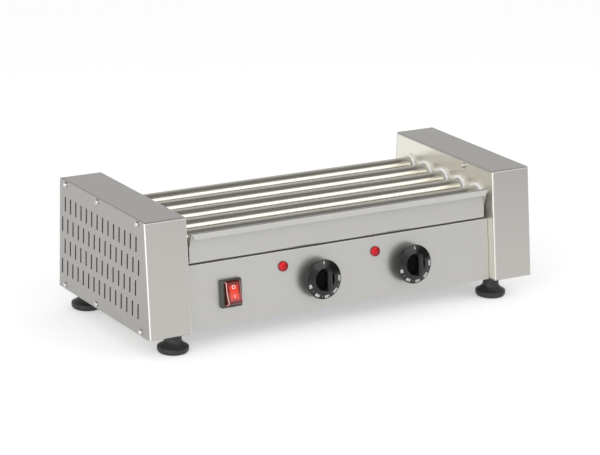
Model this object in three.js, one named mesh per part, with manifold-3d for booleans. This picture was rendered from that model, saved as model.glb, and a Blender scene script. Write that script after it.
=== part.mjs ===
// Tabletop roller grill for sausages: heated rollers turn between two stainless end housings,
// over a drip tray that slides out above the control panel.
// Millimetres, +Z up, +X along the rollers, the controls face -Y.
import * as THREE from "three";
import { mergeVertices } from "three/addons/utils/BufferGeometryUtils.js";
import Module from "manifold-3d";

const wasm = await Module();
wasm.setup();

// Driving dimensions
const overallLength = 520;
const housingWidth = 53.2;
const housingHeight = 131;
const housingTopDepth = 202;
const toeLength = 18;
const footHeight = 25;
const sheet = 1.2;
const seatGap = 0.3;
const overrun = 5;
const roundSides = 20;
const middleSides = 16;
const smallSides = 12;
const weldDistance = 1e-4;

// The end housings' side outline: upright back, level top, front that leans back from its toe
const backY = housingTopDepth / 2;
const toeY = -backY - toeLength;
const frontSlope = Math.atan2(toeLength, housingHeight);
const halfLength = overallLength / 2;
const wallX = halfLength - housingWidth;

function frontY(height) {
  return toeY + (toeLength * height) / housingHeight;
}

function sideOutline(insetY, insetZ) {
  const low = insetZ;
  const high = housingHeight - insetZ;
  const leaned = insetY / Math.cos(frontSlope);
  return [
    [frontY(low) + leaned, low],
    [backY - insetY, low],
    [backY - insetY, high],
    [frontY(high) + leaned, high],
  ];
}

// Closed meshes and their boolean joins and cuts
function solidOf(geometry) {
  const bare = geometry.clone();
  bare.deleteAttribute("normal");
  bare.deleteAttribute("uv");
  const merged = mergeVertices(bare, weldDistance);
  return new wasm.Manifold(
    new wasm.Mesh({
      numProp: 3,
      vertProperties: new Float32Array(merged.attributes.position.array),
      triVerts: new Uint32Array(merged.index.array),
    }),
  );
}

function geometryOf(solid) {
  const mesh = solid.getMesh();
  const geometry = new THREE.BufferGeometry();
  geometry.setAttribute("position", new THREE.BufferAttribute(mesh.vertProperties, 3));
  geometry.setIndex(new THREE.BufferAttribute(mesh.triVerts, 1));
  geometry.computeVertexNormals();
  return geometry;
}

function join(first, ...others) {
  return geometryOf(others.reduce((whole, piece) => whole.add(solidOf(piece)), solidOf(first)));
}

function cut(body, ...tools) {
  return geometryOf(tools.reduce((left, tool) => left.subtract(solidOf(tool)), solidOf(body)));
}

// A block between two places along each axis, given in either order
function block(xs, ys, zs) {
  const sizes = [xs, ys, zs].map(([a, b]) => Math.abs(b - a));
  const middles = [xs, ys, zs].map(([a, b]) => (a + b) / 2);
  return new THREE.BoxGeometry(...sizes).translate(...middles);
}

// A flat outline of [y, z] points, with holes, made into a plate between two places on X
function plateX(outline, [xFrom, xTo], holes = []) {
  const shape = new THREE.Shape(outline.map(([y, z]) => new THREE.Vector2(y, z)));
  for (const hole of holes) {
    shape.holes.push(new THREE.Path(hole.map(([y, z]) => new THREE.Vector2(y, z))));
  }
  const plate = new THREE.ExtrudeGeometry(shape, { depth: Math.abs(xTo - xFrom), bevelEnabled: false });
  const axes = new THREE.Matrix4().makeBasis(
    new THREE.Vector3(0, 1, 0),
    new THREE.Vector3(0, 0, 1),
    new THREE.Vector3(1, 0, 0),
  );
  return plate.applyMatrix4(axes).translate(Math.min(xFrom, xTo), 0, 0);
}

// A bent sheet's cross-section: the outer [y, z] line thickened to its left by the sheet
function bentSheet(line, thickness, xs) {
  const inner = line.map((point, i) => {
    const before = line[Math.max(i - 1, 0)];
    const after = line[Math.min(i + 1, line.length - 1)];
    const turnIn = i === 0 ? after : point;
    const turnOut = i === line.length - 1 ? before : point;
    const a = new THREE.Vector2(turnIn[0] - before[0], turnIn[1] - before[1]).normalize();
    const b = new THREE.Vector2(after[0] - turnOut[0], after[1] - turnOut[1]).normalize();
    const normal = new THREE.Vector2(-a.y - b.y, a.x + b.x).normalize();
    const reach = thickness / normal.dot(new THREE.Vector2(-b.y, b.x));
    return [point[0] + normal.x * reach, point[1] + normal.y * reach];
  });
  return plateX([...line, ...inner.reverse()], xs);
}

// A round piece turned from a closed profile of [radius, height] points, its axis along +Z
function turned(profile, sides = roundSides) {
  const points = profile.map(([radius, height]) => new THREE.Vector2(radius, height));
  if (THREE.ShapeUtils.area(points) < 0) {
    points.reverse();
  }
  const start = points.findIndex((point, i) => point.x === 0 && points.at(i - 1).x === 0);
  const ordered = start < 0 ? [...points, points[0]] : [...points.slice(start), ...points.slice(0, start)];
  return new THREE.LatheGeometry(ordered, sides).rotateX(Math.PI / 2);
}

function disc(radius, [from, to], sides = roundSides) {
  return turned([[0, from], [radius, from], [radius, to], [0, to]], sides);
}

function ring(inner, outer, [from, to], sides = roundSides) {
  return turned([[inner, from], [outer, from], [outer, to], [inner, to]], sides);
}

// Turns a piece from the Z axis to the X axis, height growing towards +X or -X
function alongX(piece, side) {
  return piece.rotateY((side * Math.PI) / 2);
}

// The radius of a faceted hole that clears a round piece by the seat gap all round
function clearHole(radius, sides = roundSides) {
  return (radius + seatGap) / Math.cos(Math.PI / sides);
}

// A round hole's outline for plateX
function roundHole(y, z, radius, sides = roundSides) {
  return Array.from({ length: sides }, (unused, i) => {
    const angle = (2 * Math.PI * i) / sides;
    return [y + radius * Math.cos(angle), z + radius * Math.sin(angle)];
  });
}

const finishes = {
  stainless: { color: 0xbdbbb7, metalness: 0.9, roughness: 0.38 },
  coverSteel: { color: 0xaaa8a4, metalness: 0.9, roughness: 0.42 },
  polished: { color: 0xd8d6d0, metalness: 1, roughness: 0.15 },
  zinc: { color: 0x9a9b9c, metalness: 0.85, roughness: 0.45 },
  bushWhite: { color: 0xf2f0ea, metalness: 0, roughness: 0.55 },
  steelDark: { color: 0x55534f, metalness: 0.8, roughness: 0.5 },
  motorPaint: { color: 0x6d7072, metalness: 0.5, roughness: 0.55 },
  heaterSheath: { color: 0x76706a, metalness: 0.7, roughness: 0.6 },
  blackPlastic: { color: 0x1c1d1d, metalness: 0, roughness: 0.35 },
  darkPlastic: { color: 0x4a4a47, metalness: 0, roughness: 0.5 },
  redLens: { color: 0xc8241a, metalness: 0, roughness: 0.2 },
  footRubber: { color: 0x232423, metalness: 0, roughness: 0.6 },
};

function named(name, geometry, finish) {
  const mesh = new THREE.Mesh(geometry, new THREE.MeshStandardMaterial(finishes[finish]));
  mesh.name = name;
  return mesh;
}

// Heights inside the cabinet are measured from the housings' underside
const machine = new THREE.Group();
const cabinet = new THREE.Group();
cabinet.position.z = footHeight;
machine.add(cabinet);

// Levelling feet: where their studs screw into the housings
const footStudRadius = 4;
const footFrontInsetX = 42;
const footFrontInsetY = 24;
const footBackInsetX = 26;
const footBackInsetY = 19;
const footNutRadius = 7;
const footNutHeight = 6;
const footPlaces = [
  { end: "front", x: halfLength - footFrontInsetX, y: toeY + footFrontInsetY },
  { end: "back", x: halfLength - footBackInsetX, y: backY - footBackInsetY },
];

// Cover screws: their places on a side panel
const screwShankRadius = 1.7;
const screwEdgeInset = 5;
const screwBackInset = 15;
const screwTopFrontInset = 16;
const screwToeInset = 22;
const screwMiddleY = 9;
const screwPlaces = [
  { name: "top_back", y: backY - screwBackInset, z: housingHeight - screwEdgeInset },
  { name: "top_middle", y: screwMiddleY, z: housingHeight - screwEdgeInset },
  { name: "top_front", y: -backY + screwTopFrontInset, z: housingHeight - screwEdgeInset },
  { name: "bottom_back", y: backY - screwBackInset, z: screwEdgeInset },
  { name: "bottom_middle", y: screwMiddleY, z: screwEdgeInset },
  { name: "bottom_front", y: toeY + screwToeInset, z: screwEdgeInset },
];

// Housing shells: one folded band (front, top, back, floor) with narrow flanges on both sides
const flangeWidth = 10;
const flangeSideWidth = 5;
const panelSeatX = halfLength - sheet - seatGap;
const innerFlangeX = wallX + sheet + seatGap;
const coverHoleRadius = clearHole(screwShankRadius, smallSides);

for (const [sideName, side] of [["left", -1], ["right", 1]]) {
  const span = (from, to) => [side * from, side * to];
  const nutZs = [sheet / 2, sheet + footNutHeight];
  const nuts = footPlaces.map((place) =>
    disc(footNutRadius, nutZs, smallSides).translate(side * place.x, place.y, 0),
  );
  const studHoles = footPlaces.map((place) =>
    disc(clearHole(footStudRadius, smallSides), [-overrun, footNutHeight + overrun], smallSides).translate(
      side * place.x,
      place.y,
      0,
    ),
  );
  const screwHoles = screwPlaces.map((place) =>
    alongX(disc(coverHoleRadius, [-overrun, overrun], smallSides), 1).translate(
      side * panelSeatX,
      place.y,
      place.z,
    ),
  );
  const band = cut(
    plateX(sideOutline(0, 0), span(wallX, panelSeatX)),
    plateX(sideOutline(sheet, sheet), span(wallX - overrun, innerFlangeX)),
    plateX(sideOutline(sheet, sheet), span(innerFlangeX + sheet, panelSeatX - sheet)),
    plateX(sideOutline(flangeSideWidth, flangeWidth), span(wallX, panelSeatX + overrun)),
  );
  const shell = cut(join(band, ...nuts), ...studHoles, ...screwHoles);
  cabinet.add(named(`${sideName}_housing_shell`, shell, "stainless"));
}

// Side panels: slotted for cooling, screwed to the shells' outer flanges
const slotWidth = 3;
const slotLength = 18.4;
const slotPitch = 13.1;
const slotRowPitch = 25.2;
const slotMarginY = 8;
const slotMarginZ = 15;
const slotGridSetBack = 1.7;
const slotGridDrop = 1;
const slotEndPoints = 3;
const slotsInLongRow = 1 + Math.floor((housingTopDepth - 2 * slotMarginY) / slotPitch);
const slotRows = 1 + Math.floor((housingHeight - 2 * slotMarginZ - slotLength) / slotRowPitch);

// A slot with round ends, each end a half circle of two chords
function slotHole(y, z) {
  const radius = slotWidth / 2;
  const straight = slotLength / 2 - radius;
  return Array.from({ length: 2 * slotEndPoints }, (unused, i) => {
    const upper = i < slotEndPoints;
    const angle = (Math.PI * (upper ? i : i - 1)) / (slotEndPoints - 1);
    return [y + radius * Math.cos(angle), z + (upper ? straight : -straight) + radius * Math.sin(angle)];
  });
}

const slotHoles = [];
for (let row = 0; row < slotRows; row += 1) {
  const z = housingHeight / 2 - slotGridDrop + (row - (slotRows - 1) / 2) * slotRowPitch;
  const count = row % 2 === 0 ? slotsInLongRow : slotsInLongRow - 1;
  for (let i = 0; i < count; i += 1) {
    slotHoles.push(slotHole(slotGridSetBack + (i - (count - 1) / 2) * slotPitch, z));
  }
}
const coverHoles = screwPlaces.map((place) => roundHole(place.y, place.z, coverHoleRadius, smallSides));

for (const [sideName, side] of [["left", -1], ["right", 1]]) {
  const xs = [side * (halfLength - sheet), side * halfLength];
  const panel = plateX(sideOutline(0, 0), xs, [...slotHoles, ...coverHoles]);
  cabinet.add(named(`${sideName}_side_panel`, panel, "coverSteel"));
}

// Rollers: where they lie, and the white bushes that carry them in the inner walls
const rollerCount = 5;
const rollerGap = 15.5;
const rollerWall = 1.5;
const rollerEndInset = 30;
const rollerDrop = 34.5;
const rollerSetForward = 2;
const bushGap = 7.5;
const bushFlange = 3.5;
const bushBarrelWall = 1.6;
const bushBarrelStandOut = 3;
const rollerPitch = (housingTopDepth - 2 * rollerEndInset) / (rollerCount - 1);
const rollerRadius = (rollerPitch - rollerGap) / 2;
const rollerHeight = housingHeight - rollerDrop;
const bushRadius = (rollerPitch - bushGap) / 2;
const bushBore = clearHole(rollerRadius);
const bushBarrel = bushBore + bushBarrelWall;
const rollerYs = Array.from(
  { length: rollerCount },
  (unused, i) => (i - (rollerCount - 1) / 2) * rollerPitch - rollerSetForward,
);

// Inner walls: flat plates let into the shells, bored for the bushes
const wallInset = sheet + seatGap;
for (const [sideName, side] of [["left", -1], ["right", 1]]) {
  const bores = rollerYs.map((y) => roundHole(y, rollerHeight, clearHole(bushBarrel)));
  const wall = plateX(sideOutline(wallInset, wallInset), [side * wallX, side * (wallX + sheet)], bores);
  cabinet.add(named(`${sideName}_inner_wall`, wall, "stainless"));
}

// Chassis pan: floor and rear wall in one sheet, welded between the inner walls, with a ledge for the tray
const panelRecess = 12;
const rollerToPanelDrop = 12.5;
const rearWallInset = 5;
const rearWallRise = 14;
const ledgeDepth = 12;
const chassisHalf = wallX - seatGap;
const controlPanelHeight = rollerHeight - rollerRadius - rollerToPanelDrop;
const rearWallHeight = controlPanelHeight + rearWallRise;
const panelToeY = toeY + panelRecess / Math.cos(frontSlope);
const panFrontY =
  panelToeY + (sheet + seatGap) / Math.cos(frontSlope) + sheet * Math.tan(frontSlope);
const rearWallY = backY - rearWallInset;

// Cable gland: a moulded bush in the rear wall for the mains lead
const glandInset = 36.8;
const glandHeight = 22;
const glandBore = 4;
const glandBarrel = 7;
const glandFlange = 10.5;
const glandNutThickness = 4;
const glandStandOut = 12;

const chassisXs = [-chassisHalf, chassisHalf];
const glandX = -wallX + glandInset;
const glandHole = disc(clearHole(glandBarrel), [-overrun, overrun])
  .rotateX(-Math.PI / 2)
  .translate(glandX, rearWallY, glandHeight);
const chassisPan = cut(
  join(
    block(chassisXs, [panFrontY, rearWallY], [0, sheet]),
    block(chassisXs, [rearWallY - sheet, rearWallY], [0, rearWallHeight]),
    block(
      chassisXs,
      [rearWallY - ledgeDepth, rearWallY - sheet / 2],
      [controlPanelHeight - sheet, controlPanelHeight],
    ),
  ),
  glandHole,
);
cabinet.add(named("chassis_pan", chassisPan, "zinc"));

const glandProfile = [
  [glandBore, -glandStandOut],
  [glandBarrel - sheet, -glandStandOut],
  [glandFlange, -glandNutThickness],
  [glandFlange, -seatGap],
  [glandBarrel, -seatGap],
  [glandBarrel, sheet + seatGap],
  [glandFlange, sheet + seatGap],
  [glandFlange, sheet + seatGap + glandNutThickness],
  [glandBore, sheet + seatGap + glandNutThickness],
];
const gland = turned(glandProfile).rotateX(Math.PI / 2).translate(glandX, rearWallY, glandHeight);
cabinet.add(named("cable_gland", gland, "blackPlastic"));

// Things on the leaning control panel are placed in its own frame: x, height along the panel, distance out
const panelFrame = new THREE.Group();
panelFrame.position.set(0, panelToeY, 0);
panelFrame.rotation.x = Math.PI / 2 - frontSlope;
cabinet.add(panelFrame);
panelFrame.updateMatrix();

// Rocker switch, pilot lamps and thermostats: their places and what passes through the panel
const switchInset = 56.75;
const switchSetDown = 1;
const switchBodyWidth = 22;
const switchBodyHeight = 29.8;
const lampX = [-79.5, 45.5];
const lampDrop = 18;
const lampBarrel = 4.8;
const knobX = [-32.5, 92.5];
const knobSetDown = 1.3;
const shaftRadius = 3;
const shaftHole = 4.5;
const switchX = -wallX + switchInset;
const switchHeight = controlPanelHeight / 2 - switchSetDown;
const lampHeight = controlPanelHeight - lampDrop;
const knobHeight = controlPanelHeight / 2 - knobSetDown;

const panelRise = controlPanelHeight / Math.cos(frontSlope);
const panelTopY = panelToeY + controlPanelHeight * Math.tan(frontSlope);
const panelLedge = 18;
const panelSheetLine = [
  [panelToeY, 0],
  [panelTopY, controlPanelHeight],
  [panelTopY + panelLedge, controlPanelHeight],
];
const onPanel = (piece) => piece.applyMatrix4(panelFrame.matrix);
const throughPanel = [-sheet - overrun, overrun];
const frontPanel = cut(
  bentSheet(panelSheetLine.reverse(), sheet, chassisXs),
  onPanel(
    block(
      [switchX - switchBodyWidth / 2 - seatGap, switchX + switchBodyWidth / 2 + seatGap],
      [switchHeight - switchBodyHeight / 2 - seatGap, switchHeight + switchBodyHeight / 2 + seatGap],
      throughPanel,
    ),
  ),
  ...lampX.map((x) => onPanel(disc(clearHole(lampBarrel), throughPanel).translate(x, lampHeight, 0))),
  ...knobX.map((x) => onPanel(disc(shaftHole, throughPanel, smallSides).translate(x, knobHeight, 0))),
);
cabinet.add(named("front_panel", frontPanel, "stainless"));

// Rocker switch: a bezelled housing with an illuminated rocker on two stub pins
const bezelWidth = 27;
const bezelHeight = 32.5;
const bezelThickness = 5.5;
const bezelCorner = 2;
const switchDepth = 22;
const rockerWidth = 18.5;
const rockerHalfHeight = 13.9;
const rockerTilt = THREE.MathUtils.degToRad(12);
const rockerPivotOut = 3.5;
const rockerFaceOut = 7.8;
const rockerFaceRise = 1.5;
const rockerBodyIn = 5;
const rockerPinRadius = 1.2;
const rockerPinLength = 1;
const wellDepth = 9;

const wellHalfWidth = rockerWidth / 2 + seatGap;
const wellHalfHeight = rockerHalfHeight + seatGap;
const bezelShape = new THREE.Shape();
bezelShape.moveTo(-bezelWidth / 2 + bezelCorner, -bezelHeight / 2);
bezelShape.lineTo(bezelWidth / 2 - bezelCorner, -bezelHeight / 2);
bezelShape.lineTo(bezelWidth / 2, -bezelHeight / 2 + bezelCorner);
bezelShape.lineTo(bezelWidth / 2, bezelHeight / 2 - bezelCorner);
bezelShape.lineTo(bezelWidth / 2 - bezelCorner, bezelHeight / 2);
bezelShape.lineTo(-bezelWidth / 2 + bezelCorner, bezelHeight / 2);
bezelShape.lineTo(-bezelWidth / 2, bezelHeight / 2 - bezelCorner);
bezelShape.lineTo(-bezelWidth / 2, -bezelHeight / 2 + bezelCorner);
const bezel = new THREE.ExtrudeGeometry(bezelShape, {
  depth: bezelThickness - seatGap,
  bevelEnabled: false,
}).translate(0, 0, seatGap);
const switchHousing = cut(
  join(
    bezel,
    block(
      [-switchBodyWidth / 2, switchBodyWidth / 2],
      [-switchBodyHeight / 2, switchBodyHeight / 2],
      [-switchDepth, bezelThickness / 2],
    ),
  ),
  block(
    [-wellHalfWidth, wellHalfWidth],
    [-wellHalfHeight, wellHalfHeight],
    [-wellDepth, bezelThickness + overrun],
  ),
  alongX(
    disc(
      clearHole(rockerPinRadius, smallSides),
      [-wellHalfWidth - rockerPinLength, wellHalfWidth + rockerPinLength],
      smallSides,
    ),
    1,
  ).translate(0, 0, rockerPivotOut),
);
const switchPlace = new THREE.Group();
switchPlace.position.set(switchX, switchHeight, 0);
switchPlace.add(named("switch_housing", switchHousing, "darkPlastic"));
panelFrame.add(switchPlace);

// The rocker's side view: arcs about its pivot at both ends, a shallow V across its face
const rockerArcSteps = 4;
const rockerFaceAngle = Math.asin(rockerFaceOut / rockerHalfHeight);
const rockerBodyAngle = Math.asin(rockerBodyIn / rockerHalfHeight);
const rockerArc = Array.from({ length: rockerArcSteps + 1 }, (unused, i) => {
  const angle = -rockerBodyAngle + ((rockerFaceAngle + rockerBodyAngle) * i) / rockerArcSteps;
  return [rockerHalfHeight * Math.cos(angle), rockerHalfHeight * Math.sin(angle)];
});
const rockerOutline = [
  ...rockerArc,
  [0, rockerFaceOut - rockerFaceRise],
  ...rockerArc.map(([y, z]) => [-y, z]).reverse(),
];
const rocker = join(
  plateX(rockerOutline, [-rockerWidth / 2, rockerWidth / 2]),
  alongX(
    disc(
      rockerPinRadius,
      [-rockerWidth / 2 - rockerPinLength, rockerWidth / 2 + rockerPinLength],
      smallSides,
    ),
    1,
  ),
);
const rockerMesh = named("switch_rocker", rocker, "redLens");
rockerMesh.position.z = rockerPivotOut;
rockerMesh.rotation.x = -rockerTilt;
switchPlace.add(rockerMesh);

// Pilot lamps: a domed lens on a barrel that clips through the panel
const lensRadius = 6;
const lensRim = 1.2;
const lensHeight = 3.6;
const lampDepth = 20;
const lampProfile = [
  [0, -lampDepth],
  [lampBarrel, -lampDepth],
  [lampBarrel, seatGap],
  [lensRadius, seatGap],
  [lensRadius, seatGap + lensRim],
  [lensRadius * Math.cos(Math.PI / 6), lensRim + (lensHeight - lensRim) / 2],
  [lensRadius * Math.cos(Math.PI / 3), lensRim + (lensHeight - lensRim) * Math.sin(Math.PI / 3)],
  [0, lensHeight],
];
["left", "right"].forEach((sideName, i) => {
  const lamp = named(`pilot_lamp_${sideName}`, turned(lampProfile, middleSides), "redLens");
  lamp.position.set(lampX[i], lampHeight, 0);
  panelFrame.add(lamp);
});

// Thermostats: a body behind the panel, a flatted shaft and a knob with a skirt and a bar grip
const thermostatHalf = 18;
const thermostatDepth = 16;
const thermostatNeck = 3.9;
const shaftFlatShare = 0.5;
const shaftBack = 12;
const shaftFront = 22;
const knobRadius = 23;
const knobRimBack = 7.5;
const knobRimFront = 12;
const knobDishFront = 14.5;
const knobHubRadius = 13;
const knobHubFront = 17;
const knobBossRadius = 7;
const knobBossBack = 1.5;
const knobGripWidth = 9;
const knobGripFront = 27;
const knobSkirtWall = 2.2;

const thermostatBack = -sheet - seatGap;
const neckHole = clearHole(shaftRadius, smallSides);
const thermostat = cut(
  join(
    block(
      [-thermostatHalf, thermostatHalf],
      [-thermostatHalf, thermostatHalf],
      [thermostatBack - thermostatDepth, thermostatBack],
    ),
    disc(thermostatNeck, [thermostatBack - sheet, seatGap], smallSides),
  ),
  disc(neckHole, [thermostatBack - thermostatDepth + sheet, overrun], smallSides),
);

// A round bar with one flat, grown by a gap for the hole that it fits
function flattedBar(radius, gap, zs) {
  const flat = radius * shaftFlatShare + gap;
  const reach = clearHole(radius, smallSides);
  const past = radius + overrun;
  return cut(
    disc(gap > 0 ? reach : radius, zs, smallSides),
    block([-past, past], [flat, past], [zs[0] - overrun, zs[1] + overrun]),
  );
}

const shaft = flattedBar(shaftRadius, 0, [-shaftBack, shaftFront]);
const skirtProfile = [
  [0, knobBossBack],
  [knobBossRadius, knobBossBack],
  [knobBossRadius, knobRimFront - knobSkirtWall],
  [knobRadius - knobSkirtWall, knobRimFront - knobSkirtWall],
  [knobRadius - knobSkirtWall, knobRimBack],
  [knobRadius, knobRimBack],
  [knobRadius, knobRimFront],
  [knobHubRadius, knobDishFront],
  [knobHubRadius, knobHubFront],
  [0, knobHubFront],
];
const knob = cut(
  join(
    turned(skirtProfile),
    cut(
      disc(knobHubRadius, [knobHubFront - sheet, knobGripFront]),
      block(
        [knobGripWidth / 2, knobRadius],
        [-knobRadius, knobRadius],
        [knobHubFront - overrun, knobGripFront + overrun],
      ),
      block(
        [-knobRadius, -knobGripWidth / 2],
        [-knobRadius, knobRadius],
        [knobHubFront - overrun, knobGripFront + overrun],
      ),
    ),
  ),
  flattedBar(shaftRadius, seatGap, [knobBossBack - overrun, shaftFront + seatGap]),
);
["left", "right"].forEach((sideName, i) => {
  const place = new THREE.Group();
  place.position.set(knobX[i], knobHeight, 0);
  place.add(named(`thermostat_${sideName}`, thermostat.clone(), "zinc"));
  place.add(named(`thermostat_shaft_${sideName}`, shaft.clone(), "zinc"));
  place.add(named(`knob_${sideName}`, knob.clone(), "blackPlastic"));
  panelFrame.add(place);
});

// Drip tray: a shallow pan whose front rises and folds over into a grip lip between two cheeks. The lip
// slopes up to its front edge, so that it hides little of the first roller
const trayHalf = 200.4;
const traySheet = 1;
const trayWallHeight = 8;
const trayBackGap = 4;
const trayFaceRecess = 10;
const trayBend = 3;
const cheekRise = 17.5;
const gripRecess = 0.5;
const gripRise = 37.7;
const gripBand = 8.2;
const lipRise = 3;
const gripEndInset = 3.6;
const gripEndRise = 6.5;

const cheekLow = controlPanelHeight + cheekRise;
const gripHigh = controlPanelHeight + gripRise;
const gripLow = gripHigh - gripBand;
const lipUnder = gripHigh - traySheet;
const lipLow = lipUnder - lipRise;
const bandRecess = gripRecess + traySheet;
const trayFloor = controlPanelHeight + seatGap;
const trayBackY = rearWallY - sheet - trayBackGap;
const atRecess = (recess, height) => frontY(height) + recess / Math.cos(frontSlope);
const trayFaceLow = trayFloor + trayBend;
const trayBendShare = 1 - Math.SQRT1_2;
const trayLine = [
  [trayBackY, trayFloor + trayWallHeight],
  [trayBackY, trayFloor],
  [atRecess(trayFaceRecess, trayFaceLow) + trayBend, trayFloor],
  [
    atRecess(trayFaceRecess, trayFaceLow) + trayBend * trayBendShare,
    trayFloor + trayBend * trayBendShare,
  ],
  [atRecess(trayFaceRecess, trayFaceLow), trayFaceLow],
  [atRecess(trayFaceRecess, lipLow), lipLow],
  [atRecess(bandRecess, lipUnder), lipUnder],
  [atRecess(bandRecess, gripLow), gripLow],
];
const gripFrontY = toeY;
const gripEnds = [-1, 1].map((side) => {
  const lowX = trayHalf - gripEndInset;
  const corner = new THREE.Shape([
    new THREE.Vector2(lowX, gripLow - overrun),
    new THREE.Vector2(lowX, gripLow),
    new THREE.Vector2(trayHalf, gripLow + gripEndRise),
    new THREE.Vector2(trayHalf + overrun, gripLow + gripEndRise),
    new THREE.Vector2(trayHalf + overrun, gripLow - overrun),
  ]);
  const depth = atRecess(bandRecess, gripHigh) - gripFrontY;
  const wedge = new THREE.ExtrudeGeometry(corner, { depth, bevelEnabled: false });
  wedge.rotateX(Math.PI / 2).translate(0, depth + gripFrontY, 0);
  return side < 0 ? wedge.rotateZ(Math.PI).translate(0, 2 * gripFrontY + depth, 0) : wedge;
});
const cheekLine = [
  [atRecess(trayFaceRecess + traySheet / 2, cheekLow), cheekLow],
  [atRecess(trayFaceRecess, cheekLow), cheekLow],
  [atRecess(bandRecess, lipUnder), lipUnder],
  [atRecess(bandRecess, lipUnder), lipUnder + traySheet / 2],
  [atRecess(trayFaceRecess + traySheet / 2, lipLow), lipLow + traySheet / 2],
];
const dripTray = join(
  cut(bentSheet(trayLine, -traySheet, [-trayHalf, trayHalf]), ...gripEnds),
  ...[-1, 1].map((side) => plateX(cheekLine, [side * (trayHalf - traySheet), side * trayHalf])),
  ...[-1, 1].map((side) =>
    block(
      [side * (trayHalf - traySheet), side * trayHalf],
      [atRecess(trayFaceRecess, trayFaceLow) + trayBend, trayBackY],
      [trayFloor, trayFloor + trayWallHeight],
    ),
  ),
);
cabinet.add(named("drip_tray", dripTray, "stainless"));

// Roller drive and heaters: how far each piece reaches past the inner walls
const sprocketTeeth = 12;
const toothPoints = 3;
const sprocketPlate = 3;
const sprocketOffset = 7;
const sprocketGap = 4.3;
const sprocketToothDepth = 3;
const sprocketHubWall = 3;
const sprocketHubLength = 5;
const rollerDriveEnd = 17;
const rollerFreeEnd = 8;
const chainThickness = 3;
const chainWidth = 4.5;
const chainArcSteps = 8;
const heaterRadius = 4;
const heaterDriveEnd = 34;
const heaterFreeEnd = 22;
const heaterBarOffset = 5;
const heaterBarHalfHeight = 9;

const sprocketTipRadius = (rollerPitch - sprocketGap) / 2;
const sprocketRootRadius = sprocketTipRadius - sprocketToothDepth;
const sprocketHubRadius = rollerRadius + sprocketHubWall;
const outerWallX = wallX + sheet;
const rollerXs = [-outerWallX - rollerDriveEnd, outerWallX + rollerFreeEnd];
const sprocketXs = [outerWallX + sprocketOffset, outerWallX + sprocketOffset + sprocketPlate];

// A toothed wheel in the YZ plane
function sprocketWheel() {
  const outline = Array.from({ length: sprocketTeeth * toothPoints }, (unused, i) => {
    const angle = (2 * Math.PI * i) / (sprocketTeeth * toothPoints);
    const radius = i % toothPoints === 0 ? sprocketRootRadius : sprocketTipRadius;
    return [radius * Math.cos(angle), radius * Math.sin(angle)];
  });
  return plateX(outline, [-sprocketXs[0], -sprocketXs[1]]);
}

const rollerTube = ring(rollerRadius - rollerWall, rollerRadius, rollerXs);
const sprocketBore = clearHole(rollerRadius);
const sprocketHubEnd = sprocketXs[1] + sprocketHubLength;
const rollerSprocket = cut(
  join(
    sprocketWheel(),
    alongX(disc(sprocketHubRadius, [sprocketXs[1] - sprocketPlate / 2, sprocketHubEnd]), -1),
  ),
  alongX(disc(sprocketBore, [sprocketXs[0] - overrun, sprocketHubEnd + overrun]), -1),
);
const bushProfile = [
  [bushBore, -bushFlange],
  [bushRadius, -bushFlange],
  [bushRadius, -seatGap],
  [bushBarrel, -seatGap],
  [bushBarrel, sheet + bushBarrelStandOut],
  [bushBore, sheet + bushBarrelStandOut],
];
const heaterRod = disc(heaterRadius, [-outerWallX - heaterDriveEnd, outerWallX + heaterFreeEnd], smallSides);

rollerYs.forEach((y, i) => {
  const number = i + 1;
  const row = new THREE.Group();
  row.position.set(0, y, rollerHeight);
  row.add(named(`roller_${number}`, alongX(rollerTube.clone(), 1), "polished"));
  row.add(named(`roller_sprocket_${number}`, rollerSprocket.clone(), "steelDark"));
  row.add(named(`heater_${number}`, alongX(heaterRod.clone(), 1), "heaterSheath"));
  for (const [sideName, side] of [["left", -1], ["right", 1]]) {
    const bush = alongX(turned(bushProfile), side).translate(side * wallX, 0, 0);
    row.add(named(`roller_bush_${sideName}_${number}`, bush, "bushWhite"));
  }
  cabinet.add(row);
});

// Heater bars: angle strips between the shells' front and back that hold the heater rods' ends
for (const [sideName, side, reach] of [["left", -1, rollerDriveEnd], ["right", 1, rollerFreeEnd]]) {
  const from = outerWallX + reach + heaterBarOffset;
  const low = rollerHeight - heaterBarHalfHeight;
  const high = rollerHeight + heaterBarHalfHeight;
  const clearance = sheet + seatGap;
  const leaned = clearance / Math.cos(frontSlope);
  const outline = [
    [frontY(low) + leaned, low],
    [backY - clearance, low],
    [backY - clearance, high],
    [frontY(high) + leaned, high],
  ];
  const holeRadius = clearHole(heaterRadius, smallSides);
  const holes = rollerYs.map((y) => roundHole(y, rollerHeight, holeRadius, smallSides));
  const bar = plateX(outline, [side * from, side * (from + sheet)], holes);
  cabinet.add(named(`heater_bar_${sideName}`, bar, "zinc"));
}

// Gear motor: stands on posts from the left inner wall, below the rollers
const motorHeightShare = 16 / 35;
const motorHalf = 28;
const motorPostHalf = 4;
const motorPostInset = 6;
const motorGearboxFrom = 14;
const motorGearboxDepth = 20;
const motorCanRadius = 22;
const motorCanDepth = 10;
const motorShaftRadius = 4;
const motorShaftBack = 8;
const motorShaftTip = 3;

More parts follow.
